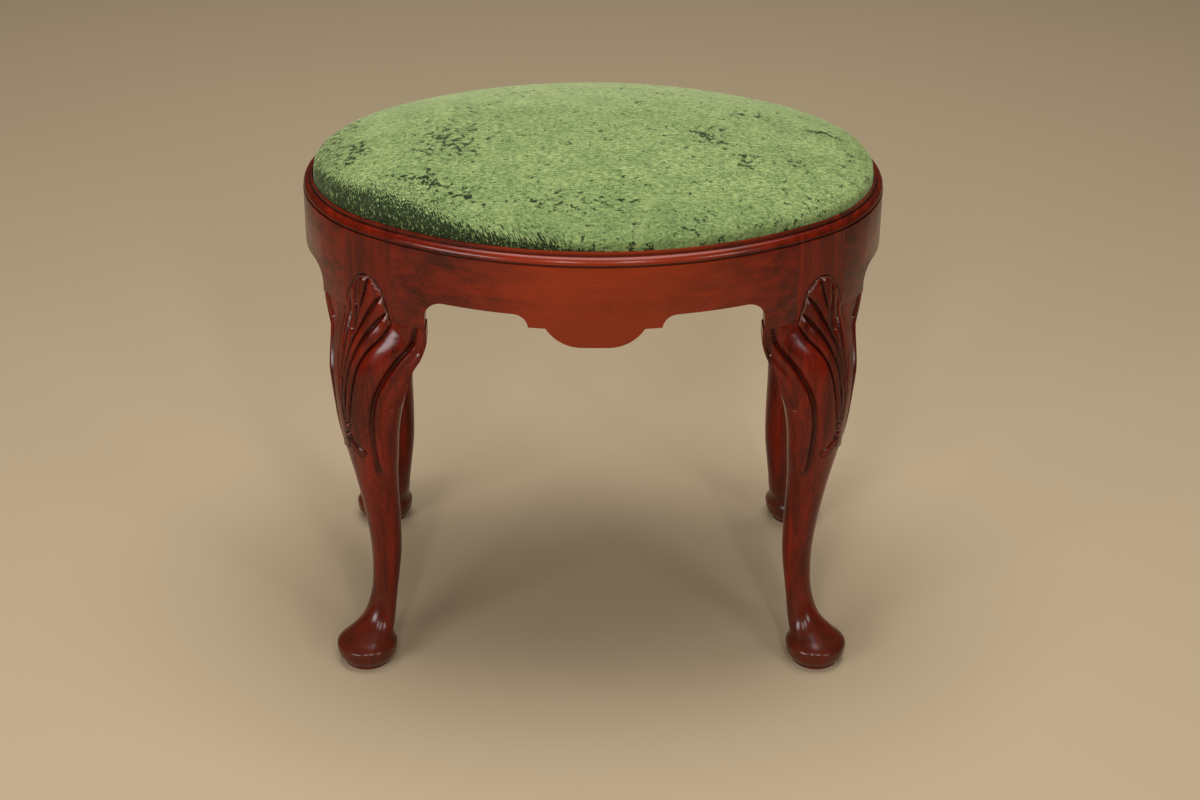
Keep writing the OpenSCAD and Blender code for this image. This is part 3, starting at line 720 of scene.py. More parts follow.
    def small_parts(
        self, points: Array, relief: Array, residue: Array, worn: Array
    ) -> tuple[Array, Array, Array]:
        """Set the two beads and the pair of leaves on the knee.

        Args:
            points: points as (side place, height).
            relief: relief so far.
            residue: gathered dark finish and painted shade so far.
            worn: rubbed edges and painted highlight so far.

        Returns:
            All three with the beads and the leaves in them.
        """
        v, z = points.T
        for x, y, radius in self.BEADS:
            away = np.hypot(v - x, z - y)
            ball = np.sqrt(np.clip(1 - (away / radius) ** 2, 0, None))
            # The sunk ring round a bead gets painted shade.
            ring = bell(away - radius - 0.7, 0.9)
            relief = np.where(away < radius, ball * radius * 0.75 - 0.7, relief - 0.8 * ring)
            residue = np.maximum(residue, ring)
            # The bead's cap is paler: wear and a painted highlight.
            worn = np.maximum(worn, 0.5 * (ball > 0.85))
        for leaf in self.LEAVES:
            line = self.smooth(leaf)
            away, _ = self.distance(points, line)
            along = np.clip((z - self.leaf_foot) / self.leaf_length, 0, 1)
            half = 1.0 + 3.4 * np.sin(math.pi * (0.15 + 0.75 * along)) ** 0.8
            body = np.sqrt(np.clip(1 - (away / half) ** 2, 0, None))
            # The sunk ring round a leaf gets painted shade.
            ring = bell(away - half - 0.5, 0.8) * (z > self.leaf_reach[0]) * (z < self.leaf_reach[1])
            crease = 0.7 * bell(away, 0.6)
            relief = np.where(away < half, body * 2.0 - 0.6 - crease, relief - 0.8 * ring)
            residue = np.maximum(residue, 0.9 * ring)
        return relief, np.clip(residue, 0, 1), np.clip(worn, 0, 1)


# --------------------------------------------------------------------------- finishes

# Settings that many nodes share.
MIXED_COLOURS = {"data_type": "RGBA"}
MIXED_NUMBERS = {"data_type": "FLOAT"}
TIMES = {"operation": "MULTIPLY"}
TIMES_PLUS = {"operation": "MULTIPLY_ADD"}
CLAMPED = {"clamp": True}
SOFT_CLAMPED = {"clamp": True, "interpolation_type": "SMOOTHSTEP"}


def add_node(
    tree: bpy.types.NodeTree,
    kind: str,
    settings: dict | None = None,
    inputs: dict | tuple = (),
    output: str | int = 0,
) -> Socket | None:
    """Add a shader node with its settings and links.

    Args:
        tree: node tree of a material.
        kind: node type, without the "ShaderNode" that all of them start with.
        settings: properties of the node, and as stops the places and hex colours of a ramp.
        inputs: numbers, hex colours or outputs of other nodes, by name or in order.
        output: name or index of the output that is wanted.

    Returns:
        That output, or None from a node without outputs.
    """
    node = tree.nodes.new("ShaderNode" + kind)
    for key, value in (settings or {}).items():
        if key != "stops":
            setattr(node, key, value)
            continue
        for _ in value[2:]:
            node.color_ramp.elements.new(0.5)
        for element, (position, colour) in zip(node.color_ramp.elements, value):
            element.position, element.color = position, linear(colour)
    for key, value in inputs.items() if isinstance(inputs, dict) else enumerate(inputs):
        socket = node.inputs[key]
        if isinstance(value, Socket):
            tree.links.new(value, socket)
        else:
            socket.default_value = linear(value) if isinstance(value, str) else value
    return node.outputs[output] if node.outputs else None


def bare_material(name: str) -> bpy.types.Material:
    """Make a material without any nodes."""
    material = bpy.data.materials.new(name)
    material.use_nodes = True
    material.node_tree.nodes.clear()
    return material


def pattern(
    tree: bpy.types.NodeTree,
    places: Socket,
    periods: tuple[float, float],
    detail: float,
    distortion: float = 0.0,
    roughness: float = 0.6,
    offset: float = 0.0,
) -> Socket:
    """Noise of a real size.

    Args:
        tree: node tree of a material.
        places: where on the piece it is read.
        periods: its size along the first axis and across it, in millimetres.
        detail: how many finer layers it has.
        distortion: how far it is pulled about.
        roughness: how strong the finer layers are.
        offset: shift that makes two patterns differ.

    Returns:
        A number for each place, mostly round 0.5.
    """
    along, across = (1 / (period * MM) for period in periods)
    scale = {"Scale": (along, across, across), "Location": (offset, offset, offset)}
    scaled = add_node(tree, "Mapping", inputs={"Vector": places, **scale})
    layers = {"Scale": 1.0, "Detail": detail, "Roughness": roughness, "Distortion": distortion}
    return add_node(tree, "TexNoise", inputs={"Vector": scaled, **layers}, output="Fac")


class Grain(Enum):
    """Direction in which the grain of a piece of wood runs, as a rotation of its pattern."""

    ALONG_X = (0.0, 0.0, 0.0)
    ALONG_Y = (0.0, 0.0, math.radians(90))
    UPRIGHT = (0.0, math.radians(90), 0.0)


@dataclass(frozen=True)
class Mahogany:
    """Stained mahogany under a rubbed semi-gloss lacquer.

    Red-brown with darker ribbons along the grain, short dark pores, and finish gathered dark in
    the carving together with painted shade there. Rubbed edges are paler, partly wear and partly a
    painted highlight, and a bowed rail can get a painted pool of light in its middle. The lacquer
    gives broad soft highlights. Sizes in millimetres are periods of the pattern, a range is the part
    of the noise that shows, and a share is how strongly one layer covers those below it.
    """

    name: str
    grain: Grain
    light: str = "#7a1a04"
    dark: str = "#340701"
    residue: str = "#150703"
    painted_light_tone: str = "#a0360f"
    worn: str = "#a8705a"
    scuffed: str = "#4c2415"
    scuff_top: float = 75.0
    seed: float = 0.0
    stretch: float = 22.0
    ribbon_mm: float = 9.0
    fibre_mm: float = 0.9
    pore_mm: tuple[float, float] = (7.0, 0.5)
    cloud_mm: tuple[float, float] = (90.0, 45.0)
    figure_range: tuple[float, float] = (0.92, 1.48)
    pore_range: tuple[float, float] = (0.62, 0.72)
    pore_share: float = 0.55
    scar_share: float = 0.75
    scuff_share: float = 0.55
    wear_and_highlight_share: float = 0.45
    residue_and_shade_share: float = 0.85
    roughness: float = 0.34
    painted_light: float = 0.0
    painted_light_middle: float = 14.0
    painted_light_reach: tuple[float, float] = (20.0, 140.0)
    scars: tuple[tuple[float, float, float, float, float], ...] = ()

    def build(self) -> bpy.types.Material:
        """Make the material.

        Returns:
            The material.
        """
        material = bare_material(self.name)
        node = partial(add_node, material.node_tree)
        where = node("TexCoord", output="Object")
        shift = (self.seed, self.seed * 0.37, self.seed * 0.61)
        turned = node("Mapping", inputs={"Vector": where, "Rotation": self.grain.value, "Location": shift})
        noise = partial(pattern, material.node_tree, turned, roughness=0.55)
        ribbon = noise((self.ribbon_mm * self.stretch, self.ribbon_mm), 3.0, 0.2)
        fibre = noise((self.fibre_mm * self.stretch, self.fibre_mm), 2.0)
        cloud = noise(self.cloud_mm, 2.0)
        figure = node("Math", TIMES_PLUS, (cloud, 0.7, node("Math", TIMES_PLUS, (fibre, 0.7, ribbon))))
        figure = node("MapRange", CLAMPED, (figure, *self.figure_range, 0.0, 1.0))
        colour = node("ValToRGB", {"stops": ((0.0, self.dark), (1.0, self.light))}, (figure,))
        pore = node("MapRange", CLAMPED, (noise(self.pore_mm, 1.0), *self.pore_range, 0.0, self.pore_share))
        layers = [(pore, self.residue)]
        if self.painted_light:
            # Painted light: the middle of a bowed rail is made paler, a pool of light painted into its colour.
            along = node("SeparateXYZ", inputs=(where,), output="X")
            along = node("Math", {"operation": "SUBTRACT"}, (along, self.painted_light_middle * MM))
            along = node("Math", {"operation": "ABSOLUTE"}, (along,))
            along = node("Math", TIMES_PLUS, (ribbon, -0.05, along))
            near, far = (reach * MM for reach in self.painted_light_reach)
            layers.append((node("MapRange", SOFT_CLAMPED, (along, near, far, self.painted_light, 0.0)), self.painted_light_tone))
        for x, z, length, width, lean in self.scars:
            # Small dark scar: a soft ellipse at its place on the rail face.
            ellipse = {
                "Vector": where,
                "Location": (x * MM, 0, z * MM),
                "Rotation": (0, math.radians(lean), 0),
                "Scale": (length / 2 * MM, 10.0, width / 2 * MM),
            }
            local = node("Mapping", {"vector_type": "TEXTURE"}, ellipse)
            reach = node("VectorMath", {"operation": "LENGTH"}, (local,), "Value")
            mark = node("MapRange", SOFT_CLAMPED, (reach, 0.3, 1.0, self.scar_share, 0.0))
            layers.append((mark, self.residue))
        # The feet are scuffed by shoes and brushes, so they are browner and duller in blotches.
        top = self.scuff_top * MM
        height = node("SeparateXYZ", inputs=(where,), output="Z")
        height = node("Math", TIMES_PLUS, (cloud, top, height))
        rubbed = node("MapRange", SOFT_CLAMPED, (height, 0.8 * top, 1.7 * top, self.scuff_share, 0.0))
        layers.append((rubbed, self.scuffed))
        # Per-vertex marks: rubbed edges with a painted highlight, and gathered finish with painted shade in the
        # hollows.
        for mark, share, goal in (
            ("worn", self.wear_and_highlight_share, self.worn),
            ("residue", self.residue_and_shade_share, self.residue),
        ):
            painted = node("Attribute", {"attribute_name": mark}, output="Fac")
            layers.append((node("Math", TIMES, (painted, share)), goal))
        for share, goal in layers:
            colour = node("Mix", MIXED_COLOURS, {"Factor": share, "A": colour, "B": goal}, "Result")
        rough = (cloud, 0.3, 0.7, self.roughness - 0.05, self.roughness + 0.06)
        surface = node("Math", TIMES_PLUS, (pore, -1.0, fibre))
        lacquer = {
            "Base Color": colour,
            "Roughness": node("MapRange", CLAMPED, rough),
            "Normal": node("Bump", inputs={"Strength": 0.12, "Distance": 0.05 * MM, "Height": surface}),
            "Specular IOR Level": 0.05,
            "Coat Weight": 0.56,
            "Coat Roughness": 0.19,
            "Coat IOR": 1.5,
        }
        node("OutputMaterial", inputs={"Surface": node("BsdfPrincipled", inputs=lacquer)})
        return material


@dataclass(frozen=True)
class CrushedVelvet:
    """Crushed velvet: a short dense pile pressed in many directions.

    Pile that leans towards the eye looks pale sage, pile that leans away looks almost black-green.
    A range is the part of the noise that shows, and a share is the strength of a layer.
    """

    name: str = "crushed_velvet"
    pale: str = "#a9b877"
    mid: str = "#83975e"
    low: str = "#5b7142"
    painted_sheen: str = "#bcc592"
    crushed: str = "#141d0f"
    sheen: str = "#c4d6a0"
    shade_range: tuple[float, float] = (0.75, 1.17)
    lean_range: tuple[float, float] = (1.03, 1.17)
    lean_share: float = 0.93
    dash_share: float = 0.52
    crush_and_shade_share: float = 0.5

    def build(self) -> bpy.types.Material:
        """Make the material.

        Returns:
            The material.
        """
        material = bare_material(self.name)
        node = partial(add_node, material.node_tree)
        noise = partial(pattern, material.node_tree, node("TexCoord", output="Object"))
        mottle = noise((34.0, 26.0), 2.0, 0.5)
        speckle = noise((4.6, 2.2), 3.0, 0.3, offset=3.0)
        points = noise((1.5, 1.3), 1.5, offset=11.0)
        shades = node("Math", TIMES_PLUS, (points, 0.6, node("Math", TIMES_PLUS, (mottle, 0.3, speckle))))
        shades = node("MapRange", CLAMPED, (shades, *self.shade_range, 0.0, 1.0))
        tone = node("ValToRGB", {"stops": ((0.0, self.low), (0.5, self.mid), (1.0, self.pale))}, (shades,))
        cast, crush, rim = (
            node("Attribute", {"attribute_name": name}, output="Fac") for name in ("cast", "crush", "rim")
        )
        # The pile is painted paler towards the back as a painted sheen, and deeper towards the front as
        # painted shade.
        for share, goal in ((cast, self.painted_sheen), (node("Math", TIMES, (cast, -1.0)), self.low)):
            tone = node("Mix", MIXED_COLOURS, {"Factor": share, "A": tone, "B": goal}, "Result")
        # Near the rim the pile is combed across the edge, so its streaks run towards the middle.
        nap = node("Attribute", {"attribute_name": "nap"}, output="Vector")
        combed = {"Vector": nap, "Scale": 1.0, "Detail": 1.5, "Roughness": 0.5, "Distortion": 0.3}
        strokes = node("Math", TIMES_PLUS, (node("TexNoise", inputs=combed, output="Fac"), 1.4, -0.2))
        fleck = noise((6.5, 6.0), 2.0, 0.3, offset=7.0)
        lean = node("Mix", MIXED_NUMBERS, {"Factor": rim, "A": fleck, "B": strokes}, "Result")
        # Short dashes along the warp and the weft fray the crushed patches.
        warp, weft = noise((1.3, 5.0), 1.5, 0.25, offset=17.0), noise((5.2, 1.2), 1.5, 0.25, offset=23.0)
        dashes = node("Math", {"operation": "MAXIMUM"}, (warp, weft))
        lean = node("Math", TIMES_PLUS, (dashes, self.dash_share, lean))
        lean = node("Math", TIMES_PLUS, (crush, self.crush_and_shade_share, lean))
        lean = node("MapRange", SOFT_CLAMPED, (lean, *self.lean_range, 0.0, self.lean_share))
        height = node("Math", TIMES_PLUS, (speckle, 1.5, points))
        pile = {
            "Base Color": node(
                "Mix", MIXED_COLOURS, {"Factor": lean, "A": tone, "B": self.crushed}, "Result"
            ),
            "Roughness": 0.92,
            "Normal": node("Bump", inputs={"Strength": 0.55, "Distance": 0.5 * MM, "Height": height}),
            "Specular IOR Level": 0.1,
            "Sheen Weight": 0.5,
            "Sheen Roughness": 0.36,
            "Sheen Tint": self.sheen,
        }
        node("OutputMaterial", inputs={"Surface": node("BsdfPrincipled", inputs=pile)})
        return material


@dataclass(frozen=True)
class PlainFinish:
    """Finish of an inner piece: two tones in a stretched or even pattern, with a fine bump."""

    name: str
    light: str
    dark: str
    along_mm: float
    across_mm: float
    roughness: float
    bump_mm: float = 0.05
    metallic: float = 0.0
    rotation: tuple[float, float, float] = (0.0, 0.0, 0.0)

    def build(self) -> bpy.types.Material:
        """Make the material.

        Returns:
            The material.
        """
        material = bare_material(self.name)
        node = partial(add_node, material.node_tree)
        where = node("TexCoord", output="Object")
        turned = node("Mapping", inputs={"Vector": where, "Rotation": self.rotation})
        grain = pattern(material.node_tree, turned, (self.along_mm, self.across_mm), 4.0)
        rough = (grain, 0.3, 0.7, self.roughness - 0.06, self.roughness + 0.06)
        coat = {
            "Base Color": node("ValToRGB", {"stops": ((0.32, self.dark), (0.68, self.light))}, (grain,)),
            "Roughness": node("MapRange", CLAMPED, rough),
            "Normal": node("Bump", inputs={"Strength": 0.4, "Distance": self.bump_mm * MM, "Height": grain}),
            "Metallic": self.metallic,
        }
        node("OutputMaterial", inputs={"Surface": node("BsdfPrincipled", inputs=coat)})
        return material


def dress(piece: Piece, material: bpy.types.Material) -> None:
    """Give a piece one material all over."""
    if not piece.data.materials:
        piece.data.materials.append(material)
    for slot in piece.material_slots:
        slot.material = material


def settle(piece: Piece, body: str, node: str) -> None:
    """Ride a piece on its body in place of a solid, and hide that solid."""
    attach(piece, body)
    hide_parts(node)


def moulding_shade(oval: Oval, profile: RimProfile, points: Array) -> Array:
    """Painted shade in the sunk line and at the foot of the top fillet."""
    inset, z = oval.inset_of(points), points[:, 2]
    base = profile.face_top + profile.sunk_height
    sunk = (z > profile.face_top - 0.1) & (z < base + 0.1) & (inset > 0.7) & (inset < 2.0)
    crook = (np.abs(z - base - profile.ovolo_radius) < 0.5) & (inset > 5.0) & (inset < 6.8)
    return np.where(sunk, 0.95, np.where(crook, 0.85, 0.0))


# --------------------------------------------------------------------------- legs


@dataclass
class CabrioleLegs:
    """The four legs with their carved knees, posts and stretch of the rim, and the knee blocks."""

    form: LegForm = field(default_factory=LegForm)
    carving: KneeCarving = field(default_factory=KneeCarving)
    front_steps: tuple[int, int, int] = (30, 80, 16)
    side_steps: int = 5
    back_steps: int = 26
    carved: tuple[float, float] = (200.0, 404.0)
    carved_step: float = 0.7
    rabbet_walk: float = 0.4
    block_arris: float = 2.2
    block_round: float = 1.6
    pieces: list[Piece] = field(default_factory=list)

    # Trim of the pad foot: middle height, spread and swelling of each change.
    PAD_TRIM = ((19.5, 2.8, 0.7), (28.0, 4.8, -1.4), (7.0, 4.5, 0.7))

    def columns(self) -> tuple[Array, int, int]:
        """Sines of the front columns, with the places of the two sides of the post among them."""
        form = self.form
        left = math.asin(-form.post_end / form.stock_reach)
        right = math.asin(form.post_long / form.stock_reach)
        quarter = math.pi / 2
        n_left, n_mid, n_right = self.front_steps
        turns = np.concatenate(
            [
                np.linspace(-quarter, left, n_left, endpoint=False),
                np.linspace(left, right, n_mid, endpoint=False),
                np.linspace(right, quarter, n_right + 1),
            ]
        )
        return np.sin(turns), n_left, n_left + n_mid

    def heights(self) -> Array:
        """Heights of the rings below the rails."""
        low, _ = self.carved
        top = self.form.profile.bottom
        return np.concatenate(
            [
                np.linspace(0, 3, 6, endpoint=False),
                np.linspace(3, 42, 36, endpoint=False),
                np.linspace(42, low, 60, endpoint=False),
                np.linspace(low, top, round((top - low) / self.carved_step) + 1),
            ]
        )

    def knee_edge(self, v: Array, z: Array) -> Array:
        """Side place of the knee's outline, blocks included, on the side of each point."""
        share = z / self.form.profile.bottom
        half = self.form.line(share, 4)
        reach = np.where(v > 0, self.form.block_reach(share, 1), self.form.block_reach(share, -1))
        return np.where(share > self.form.block_foot, np.maximum(half * (v > 0), reach), half)

    def carved_front(self, v: Array, z: Array) -> tuple[Array, Array]:
        """Points of the carved front, and its marks: gathered finish with painted shade, and rubbed edges with a
        painted highlight.
        """
        flat_v, flat_z = v.ravel(), z.ravel()
        base = np.stack([self.form.front(flat_z, flat_v), flat_v, flat_z], 1)
        relief, residue, worn = self.carving.relief(flat_v, flat_z, self.knee_edge(flat_v, flat_z))
        active = (flat_z > self.carved[0]) & (flat_z < self.carved[1])
        relief = np.where(active, relief, 0)
        points = base + relief[:, None] * self.form.normal(flat_z, flat_v)
        marks = np.stack([np.where(active, residue, 0), np.where(active, worn, 0)], 1)
        return points.reshape(*v.shape, 3), marks.reshape(*v.shape, 2)

    def leg_rings(self, sines: Array) -> tuple[Array, Array]:
        """Rings of the leg below the rails, and their marks."""
        form = self.form
        heights = self.heights()
        half = form.line(heights / form.profile.bottom, 4)
        limit = np.minimum(form.stock_reach, half)
        front, marks = self.carved_front(limit[:, None] * sines, np.repeat(heights[:, None], len(sines), 1))
        back_sines = np.sin(np.linspace(math.pi / 2, -math.pi / 2, self.back_steps + 1))
        v = limit[:, None] * back_sines
        z = np.repeat(heights[:, None], len(back_sines), 1)
        rings = self.closed_rings(front, np.stack([form.back(z, v), v, z], -1))
        return self.pad_edge(rings, half), self.closed_marks(marks, rings.shape[1])

    def post_rings(self, sines: Array, first: int, last: int) -> tuple[Array, Array]:
        """Rings of the post on the shoulder of the leg and of its stretch of the rim, and their marks.

        Args:
            sines: sines of the front columns of the leg.
            first: column at the end side of the post.
            last: column at its long side.

        Returns:
            The rings in the leg's frame, and the marks of all their points.
        """
        form, profile = self.form, self.form.profile
        inner = form.stock_reach * sines[first : last + 1]
        beyond = len(sines) - 1 - last
        carved_top = self.carved[1]
        carved_rings = round((carved_top - profile.bottom) / self.carved_step) + 1
        heights = np.concatenate(
            [
                np.linspace(profile.bottom, carved_top, carved_rings),
                np.linspace(carved_top, profile.face_top - 3, 8)[1:],
            ]
        )
        front, marks = self.carved_front(*np.meshgrid(inner, heights))
        rings = [
            self.post_ring(row, first, beyond, min(height, profile.ledge), 0.0)
            for row, height in zip(front, heights)
        ]
        # The back of the post comes in to the rabbet first, and then rises with the rim.
        moulding = profile.moulding()[1:]
        walk = np.linspace(0, 1, len(moulding))
        shares = np.clip(walk / self.rabbet_walk, 0, 1)
        rises = np.clip((walk - self.rabbet_walk) / (1 - self.rabbet_walk), 0, 1)
        for (out, height), share, rise in zip(moulding, shares, rises):
            row = np.stack([form.face_at(inner, -out), inner, np.full_like(inner, height)], 1)
            back = profile.ledge + (profile.rim_top - profile.ledge) * rise
            rings.append(self.post_ring(row, first, beyond, back, share))
        whole = np.zeros((len(rings), len(sines), 2))
        whole[: len(marks), first : last + 1] = marks
        return np.array(rings), self.closed_marks(whole, len(rings[0]))

    def build_master(self) -> Piece:
        """Model the rear right leg in the bench's frame."""
        sines, first, last = self.columns()
        low, low_marks = self.leg_rings(sines)
        top, top_marks = self.post_rings(sines, first, last)
        leg = placed_grid("leg_master", self.form.from_leg(np.concatenate([low, top])))
        marks = np.concatenate([low_marks, top_marks]).reshape(-1, 2)
        # Painted shade in the moulding's hollows joins that of the carving.
        shade_in_moulding = moulding_shade(self.form.oval, self.form.profile, coordinates(leg))
        marks[:, 0] = np.maximum(marks[:, 0], shade_in_moulding)
        return self.closed_piece(leg, marks)

    @staticmethod
    def closed_piece(piece: Piece, marks: Array) -> Piece:
        """Paint the marks on a tube of rings, close it and shade it.

        A grid primitive numbers its vertices row by row, as the marks lie.
        """
        paint(piece, "residue", marks[:, 0])
        paint(piece, "worn", marks[:, 1])
        tidy_mesh(piece, 0.004, fill=True)
        shade(piece)
        return piece

    def pad_edge(self, rings: Array, half: Array) -> Array:
        """Sharpen the upper edge of the pad foot.

        Args:
            rings: rings of the leg in the leg's frame.
            half: half width of each ring.

        Returns:
            The rings, swollen at the edge of the pad and drawn in above it.
        """
        z = rings[:, 0, 2]
        shift = sum(rise * bell(z - middle, reach) for middle, reach, rise in self.PAD_TRIM)
        grow = 1 + (shift / half)[:, None]
        middle = (rings[..., 0].max(1) + rings[..., 0].min(1))[:, None] / 2
        made = rings.copy()
        made[..., 0] = middle + (rings[..., 0] - middle) * grow
        made[..., 1] = rings[..., 1] * grow
        return made

    def closed_rings(self, front: Array, back: Array) -> Array:
        """Join front, side and back points to rings whose last point repeats the first."""
        steps = np.linspace(0, 1, self.side_steps + 2)[1:-1][None, :, None]
        right = front[:, -1:] * (1 - steps) + back[:, :1] * steps
        left = back[:, -1:] * (1 - steps) + front[:, :1] * steps
        return np.concatenate([front, right, back, left, front[:, :1]], 1)

    def closed_marks(self, marks: Array, count: int) -> Array:
        """Extend the front's marks to whole rings."""
        whole = np.zeros((marks.shape[0], count, 2))
        whole[:, : marks.shape[1]] = marks
        whole[:, -1] = marks[:, 0]
        return whole

    def post_ring(self, front: Array, before: int, after: int, back: float, share: float) -> Array:
        """One ring of the post, with as many points as a ring of the leg.

        Args:
            front: points of the front between the post's two sides.
            before: columns of the leg left of the post, which run along its end side here.
            after: columns right of the post, which run along its long side.
            back: height of the back.
            share: how far the back has come in towards the rabbet.

        Returns:
            The ring, whose last point repeats the first.
        """
        form = self.form
        v = front[:, 1]
        back_v = np.linspace(v[-1], v[0], self.back_steps + 1)
        inner = form.face_at(back_v, form.profile.rim_width)
        u = -form.post_depth + (inner + form.post_depth) * share
        back_row = np.stack([u, back_v, np.full_like(u, back)], 1)
        right_all = np.linspace(0, 1, after + self.side_steps + 2)[1:-1, None]
        right = front[-1] * (1 - right_all) + back_row[0] * right_all
        left_all = np.linspace(0, 1, before + self.side_steps + 2)[1:-1, None]
        left = back_row[-1] * (1 - left_all) + front[0] * left_all
        # The first columns of a ring of the leg lie left of the post.
        tail, head = left[: self.side_steps + 1], left[self.side_steps :]
        return np.concatenate([head[:before], front, right, back_row, tail[: self.side_steps], head[:1]])

    def build_block(self, direction: int) -> Piece:
        """Model one knee block of the rear right leg.

        Args:
            direction: 1 for the long side, -1 for the end side.

        Returns:
            The block in the bench's frame.
        """
        form, profile = self.form, self.form.profile
        low, top = form.block_foot * profile.bottom, profile.bottom
        z = np.linspace(low, top, round((top - low) / self.carved_step) + 1)
        share = z / profile.bottom
        reach = form.block_reach(share, direction)
        rise = np.clip((share - form.block_foot) / (1 - form.block_foot), 0, 1)
        depth = form.tip_depth + (form.block_depth - form.tip_depth) * np.sqrt(rise)
        end_depth = np.minimum(depth, reach - form.stock_reach)
        steps = np.sin(np.linspace(0, math.pi / 2, 37))
        v = direction * (form.stock_reach + (reach - form.stock_reach)[:, None] * steps[None, :])
        zz = np.repeat(z[:, None], len(steps), 1)
        front, marks = self.carved_front(v, zz)
        # The outer arris is rounded over.
        gap = (reach[:, None] - np.abs(v)) / self.block_arris
        front[..., 0] -= self.block_round * (1 - np.sqrt(1 - np.clip(1 - gap, 0, 1) ** 2))
        turn = math.radians(form.turn)
        sine, cosine = math.sin(turn), math.cos(turn)
        inward = np.array([-sine, -cosine] if direction > 0 else [-cosine, sine])
        tip = front[:, -1].copy()
        tip[:, :2] += end_depth[:, None] * inward
        seam = front[:, 0].copy()
        seam[:, 0] -= depth
        cross = np.linspace(0, 1, 7)[None, :, None]
        end = front[:, -1:] * (1 - cross[:, 1:-1]) + tip[:, None] * cross[:, 1:-1]
        rear = tip[:, None] * (1 - cross) + seam[:, None] * cross
        side = seam[:, None] * (1 - cross[:, 1:-1]) + front[:, :1] * cross[:, 1:-1]
        ring = np.concatenate([front, end, rear, side, front[:, :1]], 1)
        block = placed_grid("knee_block_master", form.from_leg(ring))
        return self.closed_piece(block, self.closed_marks(marks, ring.shape[1]).reshape(-1, 2))

    def build(self) -> None:
        """Model all legs and blocks and set them on the frame."""
        master = self.build_master()
        blocks = {"long": self.build_block(1), "end": self.build_block(-1)}
        for index, (corner, (side, front)) in enumerate(CORNERS.items()):
            leg = mirrored(master, f"{corner}_carved_leg", side, front)
            dress(leg, Mahogany(f"mahogany_{corner}_leg", Grain.UPRIGHT, seed=1.7 * index + 0.3).build())
            self.keep(leg, f"{corner}_leg")
            wood = Mahogany(f"mahogany_{corner}_knee_blocks", Grain.UPRIGHT, seed=1.3 * index + 5.1).build()
            for which, block in blocks.items():
                piece = mirrored(block, f"{corner}_{which}_carved_block", side, front)
                dress(piece, wood)
                self.keep(piece, f"{corner}_{which}_knee_block")
        for spare in (master, *blocks.values()):
            bpy.data.objects.remove(spare)

    def keep(self, piece: Piece, node: str) -> None:
        """Settle a piece on the frame and list it."""
        settle(piece, "frame", node)
        self.pieces.append(piece)


# --------------------------------------------------------------------------- rails


